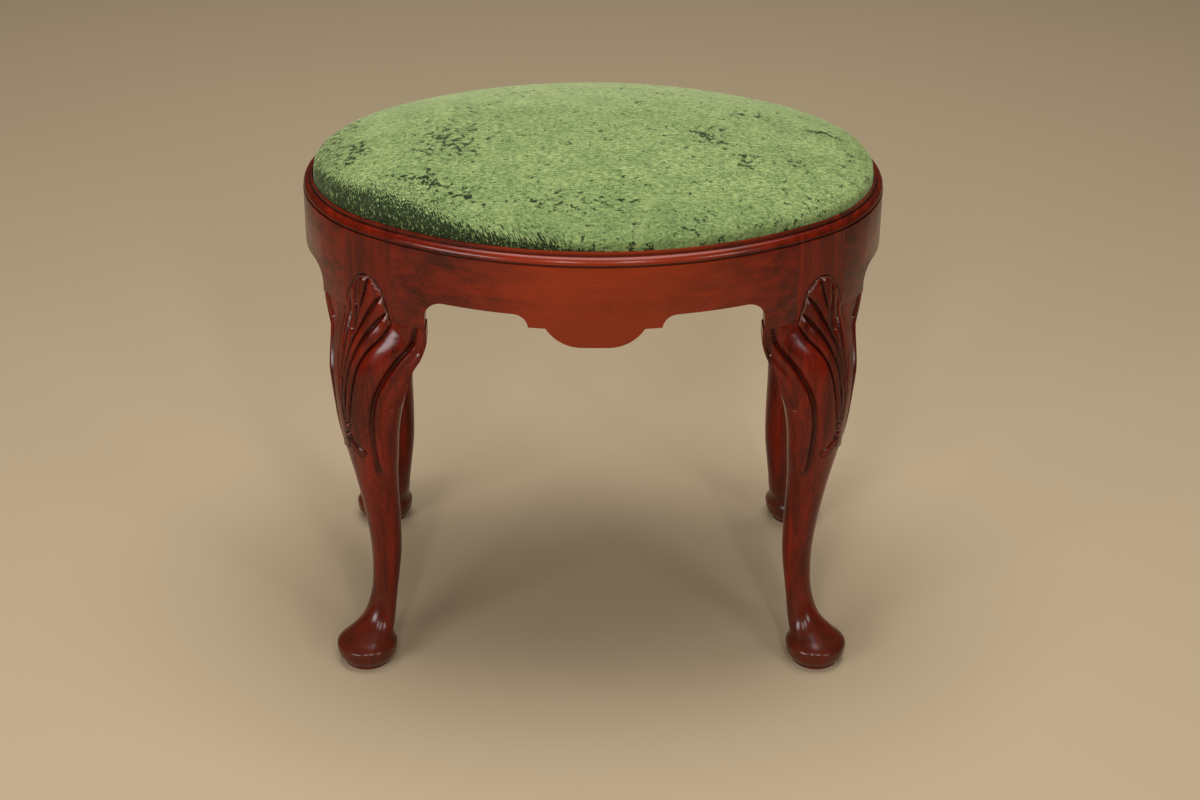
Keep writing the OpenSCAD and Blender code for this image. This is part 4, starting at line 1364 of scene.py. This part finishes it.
@dataclass
class OvalRails:
    """The four curved rails with their moulded rim and sawn lower edges."""

    form: LegForm = field(default_factory=LegForm)
    arch_rise: float = 29.0
    arch_outer_radius: float = 17.0
    arch_inner_radius: float = 13.0
    drop_step: float = 58.0
    drop_reach: float = 43.0
    drop_flat: float = 12.0
    drop_rise: float = 17.3
    end_arch_rise: float = 24.8
    seam: float = 0.08
    arris: float = 0.5
    spin_step: float = 0.9
    long_span: float = 33.0
    end_span: float = 54.0
    overrun: float = 6.0
    cut_from: float = 100.0
    cut_length: float = 200.0

    # Wear on the front rail: place along it and height, length, width and lean in degrees.
    SCARS = ((-101.0, 413.0, 3.2, 2.4, 0.0), (12.0, 401.0, 17.0, 0.8, 52.0), (99.0, 405.5, 24.0, 0.8, -58.0))

    pieces: list[Piece] = field(default_factory=list)

    def swept(self, name: str, centre: tuple[float, float], radius: float, middle: float, span: float) -> Piece:
        """Spin the rail's section along an arc.

        Args:
            name: name of the piece.
            centre: plan centre of the arc.
            radius: radius of the rail face.
            middle: direction of the middle of the arc, in degrees.
            span: half the angle of the arc, in degrees.

        Returns:
            The open-ended sweep.
        """
        section = self.form.profile.ring()
        deselect()
        bpy.ops.mesh.primitive_circle_add(vertices=len(section), radius=1, fill_type="NOTHING")
        rail = named(name)
        start = math.radians(middle - span)
        reach = radius + section[:, 0]
        x, y = centre[0] + reach * math.cos(start), centre[1] + reach * math.sin(start)
        place(rail, np.stack([x, y, section[:, 1]], 1))
        with editing(rail):
            bpy.ops.mesh.spin(
                steps=round(2 * span / self.spin_step),
                angle=-math.radians(2 * span),
                center=(centre[0] * MM, centre[1] * MM, 0),
                axis=(0, 0, 1),
            )
        return rail

    def cut_end(self, rail: Piece, v: float, direction: int, side: int, front: int) -> None:
        """Saw a rail off square to the post that it meets.

        Args:
            rail: the sweep.
            v: side place of the post's face in the leg's frame.
            direction: 1 if the rail lies beyond that face on the long side.
            side: which corner, right 1 or left -1.
            front: rear 1 or front -1.
        """
        form = self.form
        point = form.from_leg(np.array([0.0, v + direction * self.seam, 0.0]))
        away = form.from_leg(np.array([0.0, v + direction, 0.0])) - form.from_leg(np.array([0.0, v, 0.0]))
        flip = np.array([side, front, 1])
        with editing(rail):
            bpy.ops.mesh.bisect(
                plane_co=tuple(point * flip * MM), plane_no=tuple(-away * flip), use_fill=True, clear_outer=True
            )

    def cutter(self, name: str, outline: Array, along: int) -> Piece:
        """Solid that is sawn out under a rail.

        Args:
            name: name of the cutter.
            outline: places and heights of its outline.
            along: axis along which the outline is extruded, 0 or 1.

        Returns:
            The cutter.
        """
        deselect()
        bpy.ops.mesh.primitive_circle_add(vertices=len(outline), radius=1, fill_type="NGON")
        piece = named(name)
        flat = np.zeros((len(outline), 3))
        flat[:, 1 - along] = outline[:, 0]
        flat[:, 2] = outline[:, 1]
        flat[:, along] = self.cut_from
        place(piece, flat)
        push = [0.0, 0.0, 0.0]
        push[along] = self.cut_length * MM
        with editing(piece):
            bpy.ops.mesh.extrude_region_move(TRANSFORM_OT_translate={"value": tuple(push)})
            bpy.ops.mesh.select_all(action="SELECT")
            bpy.ops.mesh.normals_make_consistent(inside=False)
        return piece

    @staticmethod
    def arc(
        x: float, z: float, radius: float, start: float, stop: float, steps: int = 14
    ) -> list[tuple[float, float]]:
        """Points along an arc of the outline, in degrees."""
        turns = np.radians(np.linspace(start, stop, steps + 1))
        return [(x + radius * math.cos(t), z + radius * math.sin(t)) for t in turns]

    def block_end(self, direction: int) -> tuple[float, float]:
        """Plan point where a knee block ends on the rail face."""
        block = direction * float(self.form.block_reach(np.array(1.0), direction))
        x, y, _ = self.form.from_leg(np.array([float(self.form.face_at(np.array(block))), block, 0.0]))
        return float(x), float(y)

    def long_outline(self) -> Array:
        """What is sawn out on the right half under a long rail."""
        low, under = self.form.profile.bottom, self.form.profile.bottom - self.overrun
        reach = self.block_end(1)[0]
        top, step = low + self.arch_rise, low + self.drop_rise
        radius = ((self.drop_reach - self.drop_flat) ** 2 + self.drop_rise**2) / (2 * self.drop_rise)
        rise = math.degrees(math.asin((self.drop_reach - self.drop_flat) / radius))
        inner, outer = self.arch_inner_radius, self.arch_outer_radius
        points = [(self.drop_flat - 8, under), (self.drop_flat, low - 0.02)]
        points += self.arc(self.drop_flat, low + radius, radius, -90, -90 + rise)[1:]
        points += [(self.drop_step, step)]
        points += self.arc(self.drop_step + inner, top - inner, inner, 180, 90)
        points += self.arc(reach - outer, top - outer, outer, 90, 0)
        points += [(reach, under)]
        return np.array(points)

    def end_outline(self) -> Array:
        """What is sawn out under an end rail."""
        low, under = self.form.profile.bottom, self.form.profile.bottom - self.overrun
        reach = self.block_end(-1)[1]
        top, outer = low + self.end_arch_rise, self.arch_outer_radius
        points = [(-reach, under)]
        points += self.arc(-reach + outer, top - outer, outer, 180, 90)
        points += self.arc(reach - outer, top - outer, outer, 90, 0)
        points += [(reach, under)]
        return np.array(points)

    def sawn(self, rail: Piece, cutters: list[Piece]) -> Piece:
        """Take the cutters out of a rail and ease its arrises."""
        tidy_mesh(rail, 0.002)
        for cutter in cutters:
            modified(rail, "BOOLEAN", operation="DIFFERENCE", object=cutter, solver="EXACT")
            bpy.data.objects.remove(cutter)
        modified(
            rail,
            "BEVEL",
            width=self.arris * MM,
            segments=2,
            limit_method="ANGLE",
            angle_limit=math.radians(50),
            use_clamp_overlap=True,
        )
        tidy_mesh(rail, 0.002)
        shade(rail, 32)
        points = coordinates(rail)
        # The moulding's hollows get painted shade; the rails have no rubbed edges.
        paint(rail, "residue", moulding_shade(self.form.oval, self.form.profile, points))
        paint(rail, "worn", np.zeros(len(points)))
        return rail

    def build(self) -> None:
        """Model the rear and right rails, and copy them across."""
        form, oval = self.form, self.form.oval
        long = self.swept("long_rail_master", (0.0, -oval.long_centre), oval.long_radius, 90.0, self.long_span)
        for side in (1, -1):
            self.cut_end(long, form.post_long, 1, side, 1)
        half = self.long_outline()
        other = half[::-1] * np.array([-1, 1])
        long = self.sawn(long, [self.cutter("saw_right", half, 1), self.cutter("saw_left", other, 1)])
        end = self.swept("end_rail_master", (oval.end_centre, 0.0), oval.end_radius, 0.0, self.end_span)
        for front in (1, -1):
            self.cut_end(end, -form.post_end, -1, 1, front)
        end = self.sawn(end, [self.cutter("saw_end", self.end_outline(), 0)])
        finishes = {
            "rear_rail": (long, 1, 1, Grain.ALONG_X, 0.9),
            "front_rail": (long, 1, -1, Grain.ALONG_X, 2.4),
            "right_rail": (end, 1, 1, Grain.ALONG_Y, 3.8),
            "left_rail": (end, -1, 1, Grain.ALONG_Y, 4.6),
        }
        for node, (master, side, front, grain, seed) in finishes.items():
            rail = mirrored(master, node.replace("rail", "moulded_rail"), side, front)
            scars = self.SCARS if node == "front_rail" else ()
            # The front and rear rails get a painted pool of light in their middle.
            painted_light = 0.5 if grain is Grain.ALONG_X else 0.0
            wood = Mahogany(
                f"mahogany_{node}", grain, light="#761a04", dark="#320701", seed=seed, painted_light=painted_light, scars=scars
            )
            dress(rail, wood.build())
            settle(rail, "frame", node)
            self.pieces.append(rail)
        for spare in (long, end):
            bpy.data.objects.remove(spare)


# --------------------------------------------------------------------------- seat


@dataclass
class VelvetSeat:
    """The drop-in seat: velvet over foam, turned under the board, and a dust cover below.

    Insets are measured from the rail faces. The crown and the side end at their parts of the walk
    from the top of the pad to the middle of its underside.
    """

    oval: Oval = field(default_factory=Oval)
    inset: float = 9.4
    board_inset: float = 10.9
    ledge: float = 439.0
    board_top: float = 452.5
    rim_top: float = 452.0
    overhang: float = 2.6
    crown: float = 37.5
    crown_power: float = 2.4
    thickness: float = 1.4
    hem_inset: float = 57.0
    dust_inset: float = 49.0
    dust_top: float = 438.95
    foam_gap: float = 2.6
    crown_part: float = 0.66
    side_part: float = 0.76
    voxel: float = 5.0
    slack: float = 1.2
    pressure: float = 4.0
    frames: int = 20
    cap: float = 2.2
    pull_height: float = 458.0
    pull_depth: float = 0.35
    overhang_rise: tuple[float, float] = (0.8, 9.0)
    overhang_fall: tuple[float, float] = (14.0, 33.0)
    pieces: list[Piece] = field(default_factory=list)

    # Small tucks round the edge: how many, how deep as a share, and their phase.
    TUCKS = ((31, 0.5, 0.0), (53, 0.3, 1.0), (17, 0.2, 2.0))

    # Stretches of the edge with dark pile, in degrees: where each starts, is full, falls and stops.
    DARK_BAND = (-190.0, -172.0, -102.0, -92.0)
    FRONT_EDGE = (-104.0, -98.0, -22.0, -8.0)
    LEFT_END = (-215.0, -196.0, -176.0, -160.0)
    RIGHT_EDGE = (-66.0, -58.0, -42.0, -32.0)

    # Crushed patches: place along X and Y, half widths, and strength.
    SPOTS = (
        (-130.0, -20.0, 44.0, 66.0, 0.62), (-176.0, -92.0, 50.0, 34.0, 0.5), (-222.0, -20.0, 26.0, 46.0, 0.6),
        (-120.0, -122.0, 60.0, 22.0, 0.52), (-110.0, 60.0, 60.0, 40.0, 0.38), (100.0, -18.0, 34.0, 48.0, 0.56),
        (140.0, 45.0, 34.0, 20.0, 0.56), (212.0, 26.0, 30.0, 11.0, 0.66), (135.0, -62.0, 18.0, 24.0, 0.62),
        (28.0, -110.0, 34.0, 18.0, 0.5), (-20.0, -135.0, 90.0, 32.0, 0.47), (10.0, 0.0, 60.0, 50.0, 0.34),
        (60.0, 95.0, 44.0, 20.0, 0.46), (228.0, -18.0, 14.0, 34.0, 0.4), (-60.0, 100.0, 60.0, 30.0, 0.36),
        (178.0, -52.0, 10.0, 12.0, 0.62), (-150.0, -95.0, 34.0, 30.0, 0.6),
    )

    def reach_round(self, around: Array, inset: float) -> Array:
        """Distance from the middle of the seat to an inset outline, in each direction."""
        outline = self.oval.outline(inset, 200, 200)
        angles = np.arctan2(outline[:, 1], outline[:, 0]) % (2 * math.pi)
        order = np.argsort(angles)
        return np.interp(around, angles[order], np.hypot(*outline.T)[order], period=2 * math.pi)

    def crowned(self, name: str, inset: float, bottom: float, rise: float, grow: float) -> Piece:
        """Pad with the crown of the seat, closed below.

        Args:
            name: name of the pad.
            inset: distance inside the rail faces.
            bottom: height of its flat underside.
            rise: height of the crown above the board.
            grow: how much smaller than its space the pad starts, in millimetres.

        Returns:
            The pad.
        """
        segments, rings = 200, 64
        deselect()
        bpy.ops.mesh.primitive_uv_sphere_add(segments=segments, ring_count=rings, radius=1)
        pad = named(name)
        start = coordinates(pad) * MM
        polar = np.arccos(np.clip(start[:, 2], -1, 1)) / math.pi
        around = np.arctan2(start[:, 1], start[:, 0]) % (2 * math.pi)
        reach = self.reach_round(around, inset + grow)
        # The walk from the top: over the crown, down the side, then in along the underside.
        crown_part, side_part = self.crown_part, self.side_part
        turn = np.clip(1 - polar / crown_part, 0, 1) * math.pi / 2
        share = np.where(polar < crown_part, np.cos(turn) ** (2 / self.crown_power), 1.0)
        share = np.where(polar > side_part, 1 - (polar - side_part) / (1 - side_part), share)
        down = np.clip((polar - crown_part) / (side_part - crown_part), 0, 1)
        crown = self.board_top + (rise - grow) * np.sin(turn)
        height = np.where(polar < crown_part, crown, self.board_top + (bottom - self.board_top) * down)
        place(pad, np.stack([reach * np.cos(around) * share, reach * np.sin(around) * share, height], 1))
        tidy_mesh(pad, 0.01)
        return pad

    def plumped(self) -> Piece:
        """Pad that its filling has pressed out, with a cap on how far a point may move.

        Returns:
            The swollen pad, which starts a little smaller than the velvet.
        """
        pad = self.crowned("filled_pad", self.inset, self.ledge, self.crown, self.slack)
        modified(pad, "REMESH", mode="VOXEL", voxel_size=self.voxel * MM)
        start = coordinates(pad)
        held = pad.vertex_groups.new(name="held")
        low = np.nonzero(start[:, 2] < self.board_top - 1)[0].tolist()
        held.add(low, 1.0, "REPLACE")
        cloth = pad.modifiers.new("press", "CLOTH")
        cloth.settings.vertex_group_mass = "held"
        cloth.settings.use_pressure = True
        cloth.settings.uniform_pressure_force = self.pressure
        cloth.settings.effector_weights.gravity = 0.0
        cloth.settings.quality = 6
        cloth.point_cache.frame_start, cloth.point_cache.frame_end = 1, self.frames
        scene = bpy.context.scene
        for number in range(1, self.frames + 1):
            scene.frame_set(number)
        apply_modifiers(pad)
        scene.frame_set(1)
        moved = coordinates(pad) - start
        far = np.linalg.norm(moved, axis=1, keepdims=True)
        place(pad, start + moved * np.minimum(1, self.cap / np.maximum(far, 1e-9)))
        modified(pad, "SUBSURF", levels=1, render_levels=1)
        log.info("The filling moves the pad by up to %.1f mm, %.1f mm on the mean", far.max(), far.mean())
        return pad

    def build_cover(self) -> Piece:
        """Model the velvet cover, swollen by its filling where that stands proud of it."""
        pad = self.crowned("velvet_cover", self.inset, self.ledge, self.crown, 0.0)
        filled = self.plumped()
        modified(
            pad, "SHRINKWRAP", target=filled, wrap_method="NEAREST_SURFACEPOINT", wrap_mode="OUTSIDE"
        )
        bpy.data.objects.remove(filled)
        modified(pad, "SUBSURF", levels=1, render_levels=1)
        self.draw_in(pad)
        self.open_underside(pad)
        modified(pad, "SOLIDIFY", thickness=self.thickness * MM, offset=-1.0)
        self.crush(pad)
        shade(pad, 60)
        return pad

    def draw_in(self, pad: Piece) -> None:
        """Draw the velvet in a little where the staples pull it down, and swell it above the rim."""
        points = coordinates(pad)
        around = np.arctan2(points[:, 1] * 1.35, points[:, 0])
        band = bell(points[:, 2] - self.pull_height, 5.0) * (points[:, 2] > 450)
        wave = sum(share * np.sin(around * count + phase) for count, share, phase in self.TUCKS)
        above = points[:, 2] - self.rim_top
        over = soft_step(above, *self.overhang_rise) * (1 - soft_step(above, *self.overhang_fall))
        shift = self.pull_depth * band * (wave - 0.4) + self.overhang * over
        length = np.maximum(np.hypot(points[:, 0], points[:, 1]), 1e-6)
        points[:, :2] += shift[:, None] * points[:, :2] / length[:, None]
        place(pad, points)

    def open_underside(self, pad: Piece) -> None:
        """Open the velvet below the board, inside its hem."""
        points = coordinates(pad)
        inset = self.oval.inset_of(points)
        inner = (points[:, 2] < self.ledge + 3) & (inset > self.hem_inset)
        with editing(pad):
            bpy.ops.mesh.select_all(action="DESELECT")
        pad.data.vertices.foreach_set("select", inner)
        bpy.ops.object.mode_set(mode="EDIT")
        bpy.ops.mesh.delete(type="VERT")
        bpy.ops.object.mode_set(mode="OBJECT")

    @staticmethod
    def stretch(turned: Array, start: float, full: float, fall: float, stop: float) -> Array:
        """Share from 0 to 1 and back to 0 over a stretch of the edge, in degrees."""
        return soft_step(turned, start, full) * (1 - soft_step(turned, fall, stop))

    def crush(self, pad: Piece) -> None:
        """Paint where the pile is pressed down, read from the look of the seat, with painted shade near the front
        edge and the painted sheen and shade of the whole seat.
        """
        points = coordinates(pad)
        x, y, z = points.T
        around = np.degrees(np.arctan2(y, x))
        inset = self.oval.inset_of(points) + np.maximum(0, self.rim_top + 6.0 - z) * -0.5
        # The dark nap along the front left edge, widest near its left end.
        turned = np.where(around > 90, around - 360, around)
        along = self.stretch(turned, *self.DARK_BAND)
        width = 13.0 + 20.0 * bell(turned + 150.0, 20.0)
        band = 0.8 * (1 - soft_step(inset, width - 14.0, width + 16.0))
        band = (band + 0.45 * (1 - soft_step(inset, 0.2 * width, width))) * along
        clumps = 0.5 + 0.5 * np.sin(np.radians(turned) * 17.0 + 2.0 * np.sin(np.radians(turned) * 5.0))
        heavy = 0.62 + 0.34 * clumps - 0.36 * soft_step(turned, -78.0, -70.0)
        front = heavy * (1 - soft_step(inset, 3.0, 15.0)) * self.stretch(turned, *self.FRONT_EDGE)
        left = (1 - soft_step(inset, 16.0, 60.0)) * self.stretch(turned, *self.LEFT_END)
        # Near the front edge the crushed share is raised a little as painted shade.
        spread = 0.26 + 0.1 * (1 - soft_step(inset, 10.0, 50.0)) * (y < 0)
        for sx, sy, wx, wy, strength in self.SPOTS:
            spread = np.maximum(spread, strength * np.exp(-(((x - sx) / wx) ** 2) - ((y - sy) / wy) ** 2))
        right = 0.82 * (1 - soft_step(inset, 2.0, 10.0)) * self.stretch(turned, *self.RIGHT_EDGE)
        value = np.maximum.reduce([band, front, right, 0.6 * left, spread])
        rim = (1 - soft_step(inset, width + 2.0, width + 20.0)) * along
        paint(pad, "rim", rim)
        edge = points[:, :2] + inset[:, None] * self.oval.outwards(points)
        # Width and length of a combed stroke.
        across, stroke = 1.3, 6.0
        # The comb leans to the right of straight out.
        sideways = np.stack([-edge[:, 1], edge[:, 0]], 1) / np.hypot(*edge.T)[:, None]
        edge = edge + 1.2 * inset[:, None] * sideways
        nap = np.column_stack([edge / across, inset / stroke])
        layer = pad.data.attributes.new("nap", "FLOAT_VECTOR", "POINT")
        layer.data.foreach_set("vector", np.ascontiguousarray(nap, np.float32).ravel())
        paint(pad, "crush", np.clip(value, 0, 1))
        # Painted sheen towards the back and painted shade towards the front.
        paint(pad, "cast", 0.42 * soft_step(y, 10.0, 175.0) - 0.4 * soft_step(-y, 90.0, 185.0))

    def build_foam(self) -> Piece:
        """Model the foam under the velvet."""
        rise = self.crown - self.foam_gap
        foam = self.crowned("seat_foam_pad", self.board_inset + 0.6, self.board_top, rise, 0.0)
        points = coordinates(foam)
        points[:, 2] = np.maximum(points[:, 2], self.board_top + 0.05)
        place(foam, points)
        tidy_mesh(foam, 0.05)
        shade(foam, 50)
        return foam

    def build_dust_cover(self) -> Piece:
        """Model the black cloth tacked under the seat."""
        line = np.linspace(-1, 1, 61)
        a, b = np.meshgrid(line, line)
        dx, dy = a * np.sqrt(1 - b * b / 2), b * np.sqrt(1 - a * a / 2)
        reach = np.hypot(dx, dy)
        around = np.arctan2(dy, dx) % (2 * math.pi)
        edge = self.reach_round(around, self.dust_inset)
        # The cloth is pulled to each of its 32 staples, and sags a little in the middle.
        pull = np.sin(around * 32) * bell(reach - 0.93, 0.06) * 0.12
        height = self.dust_top - 0.9 * (1 - reach**2) + pull * (reach < 0.99)
        points = np.stack([edge * reach * np.cos(around), edge * reach * np.sin(around), height], -1)
        cloth = placed_grid("dust_cloth", points)
        modified(cloth, "SOLIDIFY", thickness=0.4 * MM, offset=-1.0)
        tidy_mesh(cloth, 0.001)
        shade(cloth, 50)
        return cloth

    def build(self) -> None:
        """Model the soft pieces of the seat and set them on it."""
        cover, foam, dust = self.build_cover(), self.build_foam(), self.build_dust_cover()
        dress(cover, CrushedVelvet().build())
        # Open-cell foam: matt and pale yellow, with a fine even grain of cells.
        dress(foam, PlainFinish("polyurethane_foam", "#efe0a8", "#dcc98c", 1.5, 1.5, 0.9, 0.3).build())
        # Spun cloth: black and matt, with a felted surface.
        dress(dust, PlainFinish("black_spun_cloth", "#1c1c1e", "#0e0e10", 2.0, 0.8, 0.85, 0.1).build())
        for piece, node, slot in (
            (cover, "seat_cover", "velvet"), (foam, "seat_foam", "foam"), (dust, "dust_cover", "black_cloth")
        ):
            settle(piece, "seat", node)
            self.pieces.append(piece)
        outline = self.oval.outline(self.dust_inset, 200, 200) * MM


# --------------------------------------------------------------------------- inner pieces


@dataclass
class HiddenWork:
    """The corner blocks, screws, dowels, board and staples, which keep their solids."""

    nodes: dict[str, Piece]

    def build(self) -> None:
        """Dress each inner piece in its own material."""
        upright = (0.0, math.radians(90), 0.0)
        # Sawn poplar: pale, matt, with a straight grain.
        poplar = PlainFinish("sawn_poplar", "#c7a26d", "#9c7643", 60.0, 2.2, 0.75, 0.12).build()
        # Beech dowel: pale pink-brown and fine.
        beech = PlainFinish("turned_beech", "#d9b27f", "#bb8f5c", 20.0, 0.8, 0.6, 0.05, rotation=upright).build()
        # Birch plywood: pale face veneer with a wide soft figure.
        plywood = PlainFinish("birch_plywood", "#d8b887", "#bd9762", 90.0, 5.0, 0.7, 0.06).build()
        # Zinc-plated steel: bluish grey with fine drawn lines.
        zinc = PlainFinish("zinc_plated_steel", "#c4c6c6", "#9b9d9e", 3.0, 0.3, 0.35, 0.02, metallic=1.0).build()
        # Galvanised wire: brighter and smoother.
        wire = PlainFinish("galvanised_wire", "#cfd0d0", "#a8aaaa", 2.0, 0.3, 0.3, 0.02, metallic=1.0).build()
        for name, material in (
            ("corner_block_screws", zinc),
            ("rail_dowels", beech),
            ("seat_board", plywood),
            ("cover_staples", wire),
            ("dust_cover_staples", wire),
        ):
            dress(self.nodes[name], material)
        for corner in CORNERS:
            dress(self.nodes[f"{corner}_corner_block"], poplar)


# --------------------------------------------------------------------------- studio


@dataclass(frozen=True)
class Studio:
    """Plain pale floor, soft lights and the camera at the photograph's angle."""

    floor_colour: str = "#bfab8c"
    focal_mm: float = 72.0
    sensor_mm: float = 36.0
    camera_place: tuple[float, float, float] = (-28.36, -2024.12, 1326.4)
    pitch: float = 28.907
    heading: float = -1.029
    roll: float = 0.578
    aim: tuple[float, float, float] = (0.0, 0.0, 0.35)
    air_colour: str = "#f0dcc0"
    air_strength: float = 0.1

    # Lamps: name, place in metres, width and height in metres, and power in watts.
    LAMPS = (
        ("overhead_softbox", (0.1, 0.15, 2.8), (2.0, 1.8), 56),
        ("left_window_softbox", (-1.8, -2.05, 1.15), (1.15, 0.7), 28),
        ("right_window_softbox", (1.75, -2.1, 1.3), (0.6, 0.55), 10),
        ("left_strip_softbox", (-0.4, -2.5, 1.9), (0.16, 0.9), 11),
        ("right_strip_softbox", (0.55, -2.5, 1.9), (0.16, 0.9), 11),
    )

    def floor(self) -> None:
        """Lay the floor."""
        deselect()
        bpy.ops.mesh.primitive_plane_add(size=60)
        floor = named("studio_floor")
        material = bpy.data.materials.new("matt_paper_floor")
        material.use_nodes = True
        shader = material.node_tree.nodes["Principled BSDF"]
        shader.inputs["Base Color"].default_value = linear(self.floor_colour)
        shader.inputs["Roughness"].default_value = 0.85
        shader.inputs["Specular IOR Level"].default_value = 0.1
        dress(floor, material)

    def lamp(self, name: str, place_m: tuple, size: tuple, power: float) -> None:
        """Hang one soft rectangular lamp, turned to the bench.

        Args:
            name: name of the lamp.
            place_m: its place in metres.
            size: its width and height in metres.
            power: its power in watts.
        """
        deselect()
        bpy.ops.object.light_add(type="AREA", location=place_m)
        lamp = bpy.context.object
        lamp.name = name
        lamp.data.shape = "RECTANGLE"
        lamp.data.size, lamp.data.size_y = size
        lamp.data.energy = power
        lamp.rotation_euler = (Vector(place_m) - Vector(self.aim)).to_track_quat("Z", "Y").to_euler()

    def lights(self) -> None:
        """Hang the lamps and set the ambient light."""
        for lamp in self.LAMPS:
            self.lamp(*lamp)
        world = bpy.data.worlds.new("studio_air")
        bpy.context.scene.world = world
        world.use_nodes = True
        back = world.node_tree.nodes["Background"]
        back.inputs["Color"].default_value = linear(self.air_colour)
        back.inputs["Strength"].default_value = self.air_strength

    def camera(self) -> None:
        """Set the camera up."""
        data = bpy.data.cameras.new("studio_camera")
        data.lens, data.sensor_width, data.sensor_fit = self.focal_mm, self.sensor_mm, "HORIZONTAL"
        data.clip_start, data.clip_end = 0.05, 200
        camera = bpy.data.objects.new("studio_camera", data)
        bpy.context.scene.collection.objects.link(camera)
        camera.location = tuple(c * MM for c in self.camera_place)
        level = Matrix.Rotation(math.radians(self.heading), 4, "Z") @ Matrix.Rotation(
            math.radians(90 - self.pitch), 4, "X"
        )
        camera.rotation_euler = (level @ Matrix.Rotation(math.radians(self.roll), 4, "Z")).to_euler()
        bpy.context.scene.camera = camera

    def build(self) -> None:
        """Set up the whole studio."""
        self.floor()
        self.lights()
        self.camera()
        bpy.context.scene.view_settings.view_transform = "Standard"


def main() -> None:
    """Build the bench round its solids."""
    logging.basicConfig(level=logging.INFO, format="%(message)s")
    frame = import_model()
    deselect()
    Studio().build()
    parts = (OvalRails(), CabrioleLegs(), VelvetSeat())
    for part in parts:
        part.build()
        for piece in part.pieces:
            log.info("%s: %d faces", piece.name, len(piece.data.polygons))
    HiddenWork(frame["nodes"]).build()
    deselect()
    bpy.context.view_layer.update()


if __name__ == "__main__":
    main()
